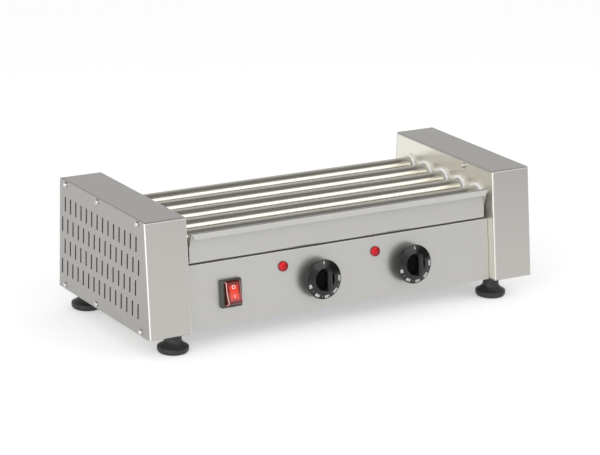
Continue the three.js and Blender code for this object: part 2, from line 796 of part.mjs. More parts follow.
const motorHeight = (rollerHeight - heaterBarHalfHeight) * motorHeightShare;
const motorMiddleY = (rollerYs[0] + rollerYs.at(-1)) / 2;
const gearboxXs = [-outerWallX - motorGearboxFrom, -outerWallX - motorGearboxFrom - motorGearboxDepth];
const motorPosts = [-1, 1].map((side) => {
  const y = side * (motorHalf - motorPostInset);
  return block(
    [-outerWallX - seatGap, gearboxXs[0] - sheet],
    [y - motorPostHalf, y + motorPostHalf],
    [-motorHalf, -motorHalf + 2 * motorPostHalf],
  );
});
const motorShaftHole = clearHole(motorShaftRadius, smallSides);
const gearMotor = cut(
  join(
    block(gearboxXs, [-motorHalf, motorHalf], [-motorHalf, motorHalf]),
    alongX(disc(motorCanRadius, [-gearboxXs[1] - sheet, -gearboxXs[1] + motorCanDepth]), -1),
    ...motorPosts,
  ),
  alongX(
    disc(motorShaftHole, [-gearboxXs[0] - overrun, -gearboxXs[0] + motorShaftBack], smallSides),
    -1,
  ),
);
const motorShaftXs = [outerWallX + motorShaftTip, -gearboxXs[0] + motorShaftBack - seatGap];
const motorSprocket = join(
  sprocketWheel(),
  alongX(disc(motorShaftRadius, motorShaftXs, smallSides), -1),
);
const motorPlace = new THREE.Group();
motorPlace.position.set(0, motorMiddleY, motorHeight);
motorPlace.add(named("gear_motor", gearMotor, "motorPaint"));
motorPlace.add(named("motor_sprocket", motorSprocket, "steelDark"));
cabinet.add(motorPlace);

// Drive chain: an even loop round the end rollers' sprockets and the motor's, clear of the teeth
function chainLoop(radius) {
  const corners = [
    [rollerYs[0], rollerHeight],
    [motorMiddleY, motorHeight],
    [rollerYs.at(-1), rollerHeight],
  ];
  const normalAngle = ([fromY, fromZ], [toY, toZ]) => Math.atan2(toZ - fromZ, toY - fromY) - Math.PI / 2;
  return corners.flatMap((corner, i) => {
    const start = normalAngle(corners.at(i - 1), corner);
    let end = normalAngle(corner, corners[(i + 1) % corners.length]);
    if (end < start) {
      end += 2 * Math.PI;
    }
    return Array.from({ length: chainArcSteps + 1 }, (unused, step) => {
      const angle = start + ((end - start) * step) / chainArcSteps;
      return [corner[0] + radius * Math.cos(angle), corner[1] + radius * Math.sin(angle)];
    });
  });
}

const chainMiddleX = -(sprocketXs[0] + sprocketXs[1]) / 2;
const chainInner = (sprocketTipRadius + seatGap) / Math.cos(Math.PI / (2 * chainArcSteps));
const chain = plateX(
  chainLoop(chainInner + chainThickness),
  [chainMiddleX - chainWidth / 2, chainMiddleX + chainWidth / 2],
  [chainLoop(chainInner)],
);
cabinet.add(named("drive_chain", chain, "steelDark"));

// Levelling feet: black bell-shaped feet on threaded studs
const footBaseRadius = 18;
const footPadRadius = 16;
const footBandHeight = 7;
const footNeckRadius = 9.5;
const footWaistShare = 0.45;
const footStudLength = 16;
const footTop = footHeight - seatGap;
const footProfile = [
  [0, 0],
  [footPadRadius, 0],
  [footBaseRadius, footBandHeight / 3],
  [footBaseRadius, footBandHeight],
  [
    footNeckRadius + (footBaseRadius - footNeckRadius) * footWaistShare,
    footBandHeight + (footTop - footBandHeight) / 4,
  ],
  [footNeckRadius, (footBandHeight + footTop) / 2],
  [footNeckRadius, footTop],
  [footStudRadius, footTop],
  [footStudRadius, footTop + footStudLength],
  [0, footTop + footStudLength],
];
for (const [sideName, side] of [["left", -1], ["right", 1]]) {
  for (const place of footPlaces) {
    const foot = named(`foot_${place.end}_${sideName}`, turned(footProfile, middleSides), "footRubber");
    foot.position.set(side * place.x, place.y, 0);
    machine.add(foot);
  }
}

// Cover screws on the left side panel: pan heads with a cross recess
const screwHeadRadius = 3.2;
const screwHeadHeight = 2;
const screwLength = 8;
const recessWidth = 0.9;
const recessReach = 2;
const recessDepth = 1;
const screwProfile = [
  [0, -screwLength],
  [screwShankRadius, -screwLength],
  [screwShankRadius, seatGap],
  [screwHeadRadius, seatGap],
  [screwHeadRadius, screwHeadHeight / 2],
  [screwHeadRadius * Math.SQRT1_2, screwHeadHeight],
  [0, screwHeadHeight],
];
const screw = cut(
  turned(screwProfile, smallSides),
  block(
    [-recessReach, recessReach],
    [-recessWidth / 2, recessWidth / 2],
    [screwHeadHeight - recessDepth, screwHeadHeight + overrun],
  ),
  block(
    [-recessWidth / 2, recessWidth / 2],
    [-recessReach, recessReach],
    [screwHeadHeight - recessDepth, screwHeadHeight + overrun],
  ),
);
for (const place of screwPlaces) {
  const mesh = named(`cover_screw_${place.name}`, alongX(screw.clone(), -1), "polished");
  mesh.position.set(-halfLength, place.y, place.z);
  cabinet.add(mesh);
}

// The part's origin is the middle of its footprint, on the surface that it stands on
const part = new THREE.Group();
part.add(machine);
const extent = new THREE.Box3().setFromObject(machine, true);
const middle = extent.getCenter(new THREE.Vector3());
machine.position.set(-middle.x, -middle.y, -extent.min.z);

export default part;
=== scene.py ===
from math import atan2, cos, degrees, pi, radians, sin, tan

import bmesh
import bpy
from mathutils import Matrix, Vector


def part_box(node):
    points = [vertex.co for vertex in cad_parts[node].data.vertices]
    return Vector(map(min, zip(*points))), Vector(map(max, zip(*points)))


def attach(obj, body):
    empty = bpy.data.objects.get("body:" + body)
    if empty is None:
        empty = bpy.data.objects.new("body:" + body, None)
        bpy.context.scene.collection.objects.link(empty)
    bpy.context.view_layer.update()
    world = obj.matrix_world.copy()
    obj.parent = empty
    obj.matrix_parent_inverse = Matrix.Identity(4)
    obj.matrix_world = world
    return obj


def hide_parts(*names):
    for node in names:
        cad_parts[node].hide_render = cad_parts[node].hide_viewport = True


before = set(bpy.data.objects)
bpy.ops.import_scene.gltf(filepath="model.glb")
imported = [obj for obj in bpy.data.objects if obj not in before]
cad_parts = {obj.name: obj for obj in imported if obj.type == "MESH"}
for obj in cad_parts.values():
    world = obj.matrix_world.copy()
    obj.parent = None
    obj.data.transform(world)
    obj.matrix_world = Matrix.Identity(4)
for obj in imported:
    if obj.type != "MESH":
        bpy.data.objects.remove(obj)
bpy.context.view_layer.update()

# Drawing units
# Every piece is drawn in millimetres as on a workshop drawing: x from the cabinet's middle,
# y from the middle of the housings' tops, z from the housings' underside. CABINET carries that
# drawing into the frame's metres, from the places of the two side panels.
MM = 0.001
TOP_DEPTH = 202
BACK_Y = TOP_DEPTH / 2

left_cover_low, left_cover_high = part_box("left_side_panel")
right_cover_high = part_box("right_side_panel")[1]
CABINET = Matrix.Translation((
    (left_cover_low.x + right_cover_high.x) / 2,
    left_cover_high.y - BACK_Y * MM,
    left_cover_low.z,
)) @ Matrix.Scale(MM, 4)


# Camera
# Stands where the photograph was taken from, solved from the cabinet's straight edges: about
# 3 metres away, 32 degrees round to the left and looking 17 degrees down through a long lens.
CAMERA_PLACE = (-1529.6, -2412.5, 944.9)
CAMERA_TURN = -32.46
CAMERA_DOWN = 17.16
CAMERA_ROLL = 1.82
CAMERA_LENS = 152.3

camera = bpy.data.objects.new("camera", bpy.data.cameras.new("camera"))
camera.data.lens = CAMERA_LENS
camera.data.sensor_width = 36
camera.data.clip_end = 50
camera.matrix_world = (
    Matrix.Translation(CABINET @ Vector(CAMERA_PLACE))
    @ Matrix.Rotation(radians(CAMERA_TURN), 4, "Z")
    @ Matrix.Rotation(radians(90 - CAMERA_DOWN), 4, "X")
    @ Matrix.Rotation(radians(CAMERA_ROLL), 4, "Z")
)
bpy.context.scene.collection.objects.link(camera)
bpy.context.scene.camera = camera
bpy.context.scene.view_settings.view_transform = "Standard"


# Studio
# A table of white paper in a pale room whose walls end below a dark ceiling and fall off to the
# right, with a softbox at the front right and a larger one at the front left. Walls and ceiling
# show in the rollers, and the left softbox in the housings' rolled edges, where a painted highlight adds to
# it, and on the knobs.
WALL_TOP = (0.69, 0.78)
WALL_LIGHT = 1.05
CEILING_LIGHT = 0.27
BEHIND_FADE = (-0.1, 0.5)
BEHIND_SHARE = 0.68
BACKDROP_TOP = 0.2
RIGHT_FALL = (0.52, 0.63)
RIGHT_SHARE = 0.25
SOFT_LIGHT = 0.9
FLOOR_GLOW = 0.36
SOFTBOXES = {
    "front_softbox": (Vector((0.55, -0.75, 0.6)), 1.8, (1.7, 0.9), 5.5),
    "side_softbox": (Vector((-0.84, -0.54, 0.3)), 2.0, (1.6, 1.3), 16),
}


def add(tree, kind, inputs=(), **settings):
    """Adds a node. An input is a value, or another node's output that is linked to it."""
    node = tree.nodes.new("ShaderNode" + kind)
    for name, value in settings.items():
        setattr(node, name, value)
    for name, value in dict(inputs).items():
        if isinstance(value, bpy.types.NodeSocket):
            tree.links.new(value, node.inputs[name])
        else:
            node.inputs[name].default_value = value
    return node


def colour(code):
    """A colour written as sRGB hex, as the linear values that a shader takes."""
    parts = [int(code[i:i + 2], 16) / 255 for i in (1, 3, 5)]
    return tuple(c / 12.92 if c <= 0.04045 else ((c + 0.055) / 1.055) ** 2.4 for c in parts) + (1,)


world = bpy.data.worlds.new("studio_walls")
bpy.context.scene.world = world
world.use_nodes = True
tree = world.node_tree
tree.nodes.clear()
towards = add(tree, "SeparateXYZ", {0: add(tree, "TexCoord").outputs["Generated"]})
wall = add(tree, "MapRange", {
    "Value": towards.outputs["Z"], "From Min": WALL_TOP[0], "From Max": WALL_TOP[1],
    "To Min": WALL_LIGHT, "To Max": CEILING_LIGHT}, interpolation_type="SMOOTHSTEP")
behind = add(tree, "MapRange", {
    "Value": towards.outputs["Y"], "From Min": BEHIND_FADE[0], "From Max": BEHIND_FADE[1],
    "To Min": 1.0, "To Max": BEHIND_SHARE}, interpolation_type="SMOOTHSTEP")
room = add(tree, "Math", {0: wall.outputs[0], 1: behind.outputs[0]}, operation="MULTIPLY")
front = add(tree, "Math", {0: towards.outputs["Y"], 1: 0.0}, operation="LESS_THAN")
rightwards = add(tree, "Math", {0: towards.outputs["X"], 1: front.outputs[0]}, operation="MULTIPLY")
right = add(tree, "MapRange", {
    "Value": rightwards.outputs[0], "From Min": RIGHT_FALL[0], "From Max": RIGHT_FALL[1],
    "To Min": 1.0, "To Max": RIGHT_SHARE}, interpolation_type="SMOOTHSTEP")
rays = add(tree, "LightPath")
mirrored = add(tree, "Math", {0: rays.outputs["Is Glossy Ray"], 1: rays.outputs["Is Transmission Ray"]},
               operation="MAXIMUM")
backdrop = add(tree, "Math", {0: towards.outputs["Z"], 1: BACKDROP_TOP}, operation="LESS_THAN")
shown = add(tree, "Math", {0: mirrored.outputs[0], 1: backdrop.outputs[0]}, operation="MULTIPLY")
white = add(tree, "Math", {0: rays.outputs["Is Camera Ray"], 1: shown.outputs[0]}, operation="MAXIMUM")
unseen = add(tree, "Mix", {0: rays.outputs["Is Diffuse Ray"], 2: room.outputs[0], 3: SOFT_LIGHT})
plain = add(tree, "Mix", {0: white.outputs[0], 2: unseen.outputs[0], 3: 1.0})
fallen = add(tree, "Mix", {0: rays.outputs["Is Glossy Ray"], 2: 1.0, 3: right.outputs[0]})
strength = add(tree, "Math", {0: plain.outputs[0], 1: fallen.outputs[0]}, operation="MULTIPLY")
# The walls are painted pale grey, but the camera sees plain white behind the machine
paint = add(tree, "Mix", {0: rays.outputs["Is Camera Ray"], 6: colour("#E7E7E7"), 7: colour("#FFFFFF")},
            data_type="RGBA")
glow = add(tree, "Background", {"Color": paint.outputs[2], "Strength": strength.outputs[0]})
add(tree, "OutputWorld", {"Surface": glow.outputs[0]})

for name, (direction, distance, size, watts) in SOFTBOXES.items():
    softbox = bpy.data.objects.new(name, bpy.data.lights.new(name, "AREA"))
    softbox.data.shape = "RECTANGLE"
    softbox.data.size, softbox.data.size_y = size
    softbox.data.energy = watts
    softbox.location = direction.normalized() * distance
    softbox.rotation_euler = direction.to_track_quat("Z", "Y").to_euler()
    bpy.context.scene.collection.objects.link(softbox)

paper = bpy.data.materials.new("white_paper")
paper.use_nodes = True
tree = paper.node_tree
tree.nodes.clear()
rays = add(tree, "LightPath")
seen = add(tree, "Math", {0: rays.outputs["Is Camera Ray"], 1: rays.outputs["Is Glossy Ray"]},
           operation="ADD")
seen = add(tree, "Math", {0: seen.outputs[0], 1: rays.outputs["Is Transmission Ray"]}, operation="ADD",
           use_clamp=True)
lit = add(tree, "Math", {0: seen.outputs[0], 1: FLOOR_GLOW}, operation="MULTIPLY")
matt = add(tree, "BsdfDiffuse", {"Color": colour("#E9E9E9")})
glow = add(tree, "Emission", {"Strength": lit.outputs[0]})
both = add(tree, "AddShader", {0: matt.outputs[0], 1: glow.outputs[0]})
add(tree, "OutputMaterial", {"Surface": both.outputs[0]})

# Metres, as the frame has them
FLOOR_HALF = 12
TABLE_FRONT = -1.6
floor_mesh = bpy.data.meshes.new("floor")
floor_mesh.from_pydata([(-FLOOR_HALF, TABLE_FRONT, 0), (FLOOR_HALF, TABLE_FRONT, 0),
                        (FLOOR_HALF, FLOOR_HALF, 0), (-FLOOR_HALF, FLOOR_HALF, 0)], [], [(0, 1, 2, 3)])
floor_mesh.materials.append(paper)
floor = bpy.data.objects.new("floor", floor_mesh)
bpy.context.scene.collection.objects.link(floor)


# Housing shells
# Each end housing is one band of 1.2 mm stainless sheet, folded round the front, top, back and
# floor of the housing. Its inner edge is rolled over towards the rollers, with small bends at
# the corners, and nuts for the levelling feet are pressed into its floor.
LENGTH = 520
HEIGHT = 131
TOE = 18
LEAN = atan2(TOE, HEIGHT)
WALL_X = 206.8
SHEET = 1.2
SHELL_BEND = 2.5
SHELL_ROLL = 1.9
COVER_FOLD = 2.0
STUD_HOLE = 4.4
NUT_RADIUS = 7.5
NUT_TOP = 7.2
PUNCH = (-6, 6)


def front_y(height, setback=0):
    """The housings' leaning front edge at a height, or a line set back from it."""
    return -BACK_Y - TOE + TOE * height / HEIGHT + setback / cos(LEAN)


FOOT_PLACES = {"front": (218, front_y(0) + 24), "back": (234, BACK_Y - 19)}


def rounded(line, radii, closed=True, steps=6):
    """A line of [y, z] points with its corners turned into arcs; a radius of 0 leaves one sharp."""
    points = []
    for i, (corner, radius) in enumerate(zip(line, radii)):
        corner = Vector(corner)
        if radius == 0 or (not closed and i in (0, len(line) - 1)):
            points.append(tuple(corner))
            continue
        before = (Vector(line[i - 1]) - corner).normalized()
        after = (Vector(line[(i + 1) % len(line)]) - corner).normalized()
        half = before.angle(after) / 2
        centre = corner + (before + after).normalized() * (radius / sin(half))
        start = corner + before * (radius / tan(half)) - centre
        end = corner + after * (radius / tan(half)) - centre
        points.extend(tuple(centre + start.slerp(end, step / steps).normalized() * radius)
                      for step in range(steps + 1))
    return points


def side_outline(inset, front=None, bend=SHELL_BEND):
    """The housing's side view, set in from its edges; its front edge may be set in further."""
    front = inset if front is None else front
    low, high = inset, HEIGHT - inset
    corners = [(front_y(low, front), low), (BACK_Y - inset, low), (BACK_Y - inset, high),
               (front_y(high, front), high)]
    return rounded(corners, [max(bend - inset, 0.4)] * 4)


def skin(rows, around=False):
    """A closed form over rows of points, capped at both ends or joined from last row to first."""
    shape = bmesh.new()
    rows = [[shape.verts.new(point) for point in row] for row in rows]
    for a, b in zip(rows, rows[1:] + rows[:1] if around else rows[1:]):
        for i in range(len(a)):
            shape.faces.new((a[i - 1], a[i], b[i], b[i - 1]))
    if not around:
        shape.faces.new(rows[0])
        shape.faces.new(rows[-1])
    bmesh.ops.remove_doubles(shape, verts=shape.verts, dist=1e-4)
    bmesh.ops.recalc_face_normals(shape, faces=shape.faces)
    return shape


def turned(profile, steps=48):
    """A round form about the z axis, from a closed profile of [radius, height] points."""
    return skin([[(r * cos(2 * pi * i / steps), r * sin(2 * pi * i / steps), z) for r, z in profile]
                 for i in range(steps)], around=True)


def rod(radius, low, high, steps=48):
    """A plain pin along z, to bore with or to turn on."""
    return turned([(0, low), (radius, low), (radius, high), (0, high)], steps)


def moved(shape, matrix):
    shape.transform(matrix)
    return shape


def at(*place):
    return Matrix.Translation(place)


def together(*shapes):
    """Several forms as one."""
    whole = bmesh.new()
    for shape in shapes:
        data = bpy.data.meshes.new("form")
        shape.to_mesh(data)
        whole.from_mesh(data)
        bpy.data.meshes.remove(data)
    return whole


def cut(body, *tools):
    """The body less the tools, which don't touch each other."""
    forms = []
    for shape in (body, together(*tools)):
        form = bpy.data.objects.new("form", bpy.data.meshes.new("form"))
        shape.to_mesh(form.data)
        bpy.context.scene.collection.objects.link(form)
        forms.append(form)
    difference = forms[0].modifiers.new("cut", "BOOLEAN")
    difference.object = forms[1]
    difference.solver = "EXACT"
    result = bmesh.new()
    result.from_object(forms[0], bpy.context.evaluated_depsgraph_get())
    for form in forms:
        data = form.data
        bpy.data.objects.remove(form)
        bpy.data.meshes.remove(data)
    return result


def piece(name, shape, material, body, slot, *nodes, place=Matrix(), bevel=0, crease=32):
    """Makes an object of a drawn form: placed, softened, finished, hung under its body's empty, and standing
    in for the drawing's solids, which it hides.
    """
    mesh = bpy.data.meshes.new(name)
    shape.transform(CABINET @ place)
    bmesh.ops.recalc_face_normals(shape, faces=shape.faces)
    shape.to_mesh(mesh)
    mesh.materials.append(material)
    mesh.polygons.foreach_set("use_smooth", [True] * len(mesh.polygons))
    mesh.set_sharp_from_angle(angle=radians(crease))
    made = bpy.data.objects.new(name, mesh)
    bpy.context.scene.collection.objects.link(made)
    if bevel:
        soften = made.modifiers.new("soft_edges", "BEVEL")
        soften.width = bevel * MM
        soften.segments = 2
        soften.limit_method = "ANGLE"
        soften.angle_limit = radians(50)
    flats = made.modifiers.new("even_flats", "WEIGHTED_NORMAL")
    flats.weight = 100
    flats.keep_sharp = True
    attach(made, body)
    if nodes:
        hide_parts(*nodes)
    return made


def finished(material_name, settings):
    """A new material and its tree, emptied but for a shader with the settings and the output. Where a
    pattern is linked over a setting, the setting is the pattern's mean."""
    material = bpy.data.materials.new(material_name)
    material.use_nodes = True
    tree = material.node_tree
    tree.nodes.clear()
    shader = add(tree, "BsdfPrincipled", settings)
    add(tree, "OutputMaterial", {"Surface": shader.outputs[0]})
    return material, tree, shader


def brushed_stainless(name, code, grain, roughness):
    """AISI 304 sheet, belt-ground to a satin finish: long fine scratches that lie one way, a soft
    blurred mirror, and broad faint patches from rolling. The scratches of about 0.1 mm are drawn
    1.2 mm apart, the finest that shows."""
    material, tree, shader = finished(name, {"Metallic": 0.8})
    place = add(tree, "TexCoord").outputs["Object"]
    along = add(tree, "Mapping", {"Vector": place, "Scale": [1 / (step * MM) for step in grain]})
    lines = add(tree, "TexNoise", {"Vector": along.outputs[0], "Scale": 1.0, "Detail": 3.0,
                                    "Roughness": 0.65})
    patches = add(tree, "TexNoise", {"Vector": place, "Scale": 1 / (90 * MM), "Detail": 2.0})
    tone = add(tree, "Mix", {0: 0.45, 2: lines.outputs[0], 3: patches.outputs[0]})
    spread = add(tree, "MapRange", {"Value": tone.outputs[0], "From Min": 0.3, "From Max": 0.7})
    light, dark = colour(code), tuple(0.97 * c for c in colour(code)[:3]) + (1,)
    base = add(tree, "Mix", {0: spread.outputs[0], 6: dark, 7: light}, data_type="RGBA")
    satin = add(tree, "MapRange", {"Value": lines.outputs[0], "From Min": 0.3, "From Max": 0.7,
                                    "To Min": roughness + 0.015, "To Max": roughness - 0.015})
    relief = add(tree, "Bump", {"Height": lines.outputs[0], "Strength": 0.025, "Distance": 0.02 * MM})
    # Where the sheet is rolled round an upright edge, its colour turns pale: a painted highlight where the
    # normal leans halfway between sideways and front or back
    facing = add(tree, "SeparateXYZ", {0: add(tree, "NewGeometry").outputs["Normal"]})
    both = add(tree, "Math", {0: facing.outputs["X"], 1: facing.outputs["Y"]}, operation="MULTIPLY")
    either_way = add(tree, "Math", {0: both.outputs[0]}, operation="ABSOLUTE")
    rolled_edge_highlight_mask = add(tree, "MapRange", {"Value": either_way.outputs[0], "From Min": 0.1, "From Max": 0.25})
    painted_edge_highlight = add(tree, "Mix", {0: rolled_edge_highlight_mask.outputs[0], 6: base.outputs[2], 7: colour("#DEDBD6")},
                    data_type="RGBA")
    tree.links.new(painted_edge_highlight.outputs[2], shader.inputs["Base Color"])
    tree.links.new(satin.outputs[0], shader.inputs["Roughness"])
    tree.links.new(relief.outputs[0], shader.inputs["Normal"])
    return material


# The band is ground along its length, so its scratches run round the housing
shell_steel = brushed_stainless("brushed_stainless_band", "#BFBCB8", (1.2, 160, 160), 0.3)

ROLL_STEPS = 6
cover_seat = LENGTH / 2 - COVER_FOLD - WALL_X
shell_section = [
    (SHELL_ROLL - SHELL_ROLL * cos(radians(90 * i / ROLL_STEPS)),
     SHELL_ROLL - SHELL_ROLL * sin(radians(90 * i / ROLL_STEPS))) for i in range(ROLL_STEPS + 1)
] + [(cover_seat, 0), (cover_seat, SHEET)] + [
    (SHELL_ROLL - (SHELL_ROLL - SHEET) * sin(radians(90 * i / ROLL_STEPS)),
     SHELL_ROLL - (SHELL_ROLL - SHEET) * cos(radians(90 * i / ROLL_STEPS))) for i in range(ROLL_STEPS + 1)
]
for hand, side in (("left", -1), ("right", 1)):
    band = skin([[(side * (WALL_X + out), y, z) for y, z in side_outline(inset)]
                 for out, inset in shell_section], around=True)
    nut_profile = [(STUD_HOLE, SHEET), (NUT_RADIUS, SHEET), (NUT_RADIUS, NUT_TOP), (STUD_HOLE, NUT_TOP)]
    bores = [moved(rod(STUD_HOLE, *PUNCH), at(side * x, y, 0)) for x, y in FOOT_PLACES.values()]
    nuts = [moved(turned(nut_profile, 6), at(side * x, y, 0)) for x, y in FOOT_PLACES.values()]
    piece(f"{hand}_shell", together(cut(band, *bores), *nuts), shell_steel, "cabinet", "stainless",
          f"{hand}_housing_shell")


# Side panels
# A folded cover of satin stainless closes each housing. It is punched with four staggered rows
# of cooling slots, its front edge is rolled, and six pan-head screws hold it on.
SLOT_WIDTH = 3
SLOT_LENGTH = 18.4
SLOT_PITCH = 13.1
SLOT_ROW_PITCH = 25.2
SLOT_ROWS = (15, 14, 15, 14)
SLOT_MIDDLE = (1.7, HEIGHT / 2 - 1)
SCREW_HOLE = 2.0
COVER_ROLL = 1.8
COVER_EDGE = 0.35
COVER_CORNER = 2.0
SCREW_PLACES = {
    "top_back": (BACK_Y - 15, HEIGHT - 5), "top_middle": (9, HEIGHT - 5),
    "top_front": (16 - BACK_Y, HEIGHT - 5), "bottom_back": (BACK_Y - 15, 5),
    "bottom_middle": (9, 5), "bottom_front": (front_y(0) + 22, 5),
}

# The cover is ground level, so its scratches run from the front to the back
cover_steel = brushed_stainless("satin_stainless_cover", "#A8A6A3", (160, 160, 1.2), 0.32)


def turn(angle, axis):
    return Matrix.Rotation(radians(angle), 4, axis)


def slot_hole(y, z):
    """The points round an upright slot with round ends."""
    radius = SLOT_WIDTH / 2
    straight = SLOT_LENGTH / 2 - radius
    half_turn = [pi * i / 8 for i in range(9)]
    upper = [(y + radius * cos(angle), z + straight + radius * sin(angle)) for angle in half_turn]
    lower = [(y - radius * cos(angle), z - straight - radius * sin(angle)) for angle in half_turn]
    return upper + lower


for hand, side in (("left", -1), ("right", 1)):
    outer = side * LENGTH / 2
    quarter_turn = [radians(90 * i / ROLL_STEPS) for i in range(ROLL_STEPS + 1)]
    depths = [COVER_FOLD] + [COVER_ROLL * (1 - sin(angle)) for angle in quarter_turn]
    fronts = [0] + [COVER_ROLL * (1 - cos(angle)) for angle in quarter_turn]
    edges = [max(COVER_EDGE - depth, 0) for depth in depths]
    cover = skin([[(outer - side * depth, y, z)
                   for y, z in side_outline(edge, max(front, edge), COVER_CORNER)]
                  for depth, front, edge in zip(depths, fronts, edges)])
    across = [outer + side * reach for reach in PUNCH]
    holes = []
    for row, count in enumerate(SLOT_ROWS):
        z = SLOT_MIDDLE[1] + (row - (len(SLOT_ROWS) - 1) / 2) * SLOT_ROW_PITCH
        for i in range(count):
            y = SLOT_MIDDLE[0] + (i - (count - 1) / 2) * SLOT_PITCH
            holes.append(skin([[(x, a, b) for a, b in slot_hole(y, z)] for x in across]))
    for y, z in SCREW_PLACES.values():
        holes.append(moved(rod(SCREW_HOLE, *PUNCH, 24), at(outer, y, z) @ turn(90, "Y")))
    piece(f"{hand}_cover", cut(cover, *holes), cover_steel, "cabinet", "cover_steel", f"{hand}_side_panel")


# Cover screws
# Nickel-plated pan-head screws with a cross recess hold the covers, three along the top and
# three along the bottom of each; those of the far cover, which the photograph doesn't show,
# are taken as countersunk. One more screw fixes the right inner wall.
HEAD_RADIUS = 3.2
SHANK_RADIUS = 1.6
SHANK_END = -8
RECESS_HALF = (2, 0.45)

# Nickel plate is a bright, faintly warm mirror. Turning marks of a twentieth of a millimetre dull
# it here and there, and are drawn 0.4 mm apart
nickel, tree, shader = finished("nickel_plated_screw", {
    "Base Color": colour("#D6D5D0"), "Metallic": 1.0, "Roughness": 0.22})
place = add(tree, "TexCoord").outputs["Object"]
marks = add(tree, "TexNoise", {"Vector": place, "Scale": 1 / (0.4 * MM), "Detail": 2.0})
dulled = add(tree, "MapRange", {"Value": marks.outputs[0], "To Min": 0.14, "To Max": 0.3})
tree.links.new(dulled.outputs[0], shader.inputs["Roughness"])


def recess(top):
    """One arm of the cross recess in a crown at the given height, narrower towards its floor."""
    x, y = RECESS_HALF
    rows = ((1, top + 1), (0.9, top - 0.2), (0.45, top - 1.1))
    return skin([[(-x * grow, -y * grow, z), (x * grow, -y * grow, z), (x * grow, y * grow, z),
                  (-x * grow, y * grow, z)] for grow, z in rows])


def screw(top):
    """A screw along z whose head's crown stands at the given height over the sheet."""
    profile = [(0, SHANK_END), (SHANK_RADIUS, SHANK_END), (SHANK_RADIUS, top - 1.9), (HEAD_RADIUS, top - 1.8),
               (HEAD_RADIUS, top - 1.1), (3.05, top - 0.7), (2.75, top - 0.38), (2.2, top - 0.14),
               (1.4, top - 0.03), (0, top)]
    return cut(cut(turned(profile, 40), recess(top)), moved(recess(top), turn(90, "Z")))


pan_head = screw(2)
flush_head = screw(0)
for i, (spot, (y, z)) in enumerate(SCREW_PLACES.items()):
    # Each screw has come to rest at an angle of its own
    spin = turn(23 + 37 * i, "Z")
    piece(f"left_screw_{spot}", pan_head.copy(), nickel, "cabinet", "screw_steel", f"cover_screw_{spot}",
          place=at(-LENGTH / 2, y, z) @ turn(-90, "Y") @ spin)
    piece(f"right_screw_{spot}", flush_head.copy(), nickel, "cabinet", "screw_steel",
          place=at(LENGTH / 2, y, z) @ turn(90, "Y") @ spin)


# Inner walls
# A flat plate of stainless closes the roller side of each housing. It is let into the shell's
# rolled edge with a fine seam, bored for five bushes, and is brighter than the outside.
WALL_SEAM = 2.2
ROLLER_PITCH = 35.5
ROLLER_SHIFT = 2
ROLLER_Y = [(i - 2) * ROLLER_PITCH - ROLLER_SHIFT for i in range(5)]
ROLLER_Z = 96.5
BUSH_BARREL = 11.9
BORE_EASE = 0.3
WALL_SCREW = (-44, 124.6)

# The plate is ground upright and has kept a brighter skin than the outside
wall_steel = brushed_stainless("bright_stainless_wall", "#F0EDE2", (160, 1.2, 160), 0.3)
for hand, side in (("left", -1), ("right", 1)):
    plate = skin([[(side * x, y, z) for y, z in side_outline(WALL_SEAM)] for x in (WALL_X, WALL_X + SHEET)])
    bores = [moved(rod(BUSH_BARREL + BORE_EASE, *PUNCH, 64), at(side * WALL_X, y, ROLLER_Z) @ turn(90, "Y"))
             for y in ROLLER_Y]
    piece(f"{hand}_wall", cut(plate, *bores), wall_steel, "cabinet", "stainless", f"{hand}_inner_wall")
piece("wall_screw", pan_head.copy(), nickel, "cabinet", "screw_steel",
      place=at(WALL_X, *WALL_SCREW) @ turn(-90, "Y") @ turn(20, "Z"))


# Bushes
# White bushes of a heatproof low-friction plastic (PTFE), turned from rod and pushed into the
# inner walls. Each has a broad rounded flange that shows as a ring round its roller's end.
BUSH_BORE = 10.35
BUSH_RADIUS = 14
BUSH_FLANGE = 3.5
BUSH_TAIL = 3
SEAT_GAP = 0.1

# PTFE is waxy: a soft gloss, and light that sinks 2 mm in; its cloudiness is about 3 mm across
bush_plastic, tree, shader = finished("turned_white_ptfe", {
    "Base Color": colour("#FDFCFA"), "Roughness": 0.36, "IOR": 1.38, "Subsurface Weight": 0.3,
    "Subsurface Radius": (1, 1, 1), "Subsurface Scale": 2 * MM})
place = add(tree, "TexCoord").outputs["Object"]
grain = add(tree, "TexNoise", {"Vector": place, "Scale": 1 / (3 * MM), "Detail": 3.0})
warm = add(tree, "Mix", {0: grain.outputs[0], 6: colour("#FBFAF7"), 7: colour("#FFFEFC")}, data_type="RGBA")
tree.links.new(warm.outputs[2], shader.inputs["Base Color"])

bush_profile = rounded(
    [(BUSH_BORE, -BUSH_FLANGE), (BUSH_RADIUS, -BUSH_FLANGE), (BUSH_RADIUS, -SEAT_GAP),
     (BUSH_BARREL, -SEAT_GAP), (BUSH_BARREL, SHEET + BUSH_TAIL), (BUSH_BORE, SHEET + BUSH_TAIL)],
    [0.5, 1.2, 0.2, 0, 0.3, 0.3], steps=5)
for hand, side in (("left", -1), ("right", 1)):
    for i, y in enumerate(ROLLER_Y):
        piece(f"{hand}_bush_{i + 1}", turned(bush_profile, 64), bush_plastic, "cabinet", "bush_white",
              f"roller_bush_{hand}_{i + 1}", place=at(side * WALL_X, y, ROLLER_Z) @ turn(90 * side, "Y"))


# Rollers
# Seamless stainless tubes, 20 mm across, polished in the lathe: a bright mirror with very fine
# rings round it that blur it a little along the tube.
ROLLER_RADIUS = 10
ROLLER_WALL = 1.5
ROLLER_ENDS = (-225, 216)

roller_steel, tree, shader = finished("lathe_polished_stainless_tube", {
    "Base Color": colour("#D9D6CB"), "Metallic": 1.0, "Roughness": 0.15})
place = add(tree, "TexCoord").outputs["Object"]
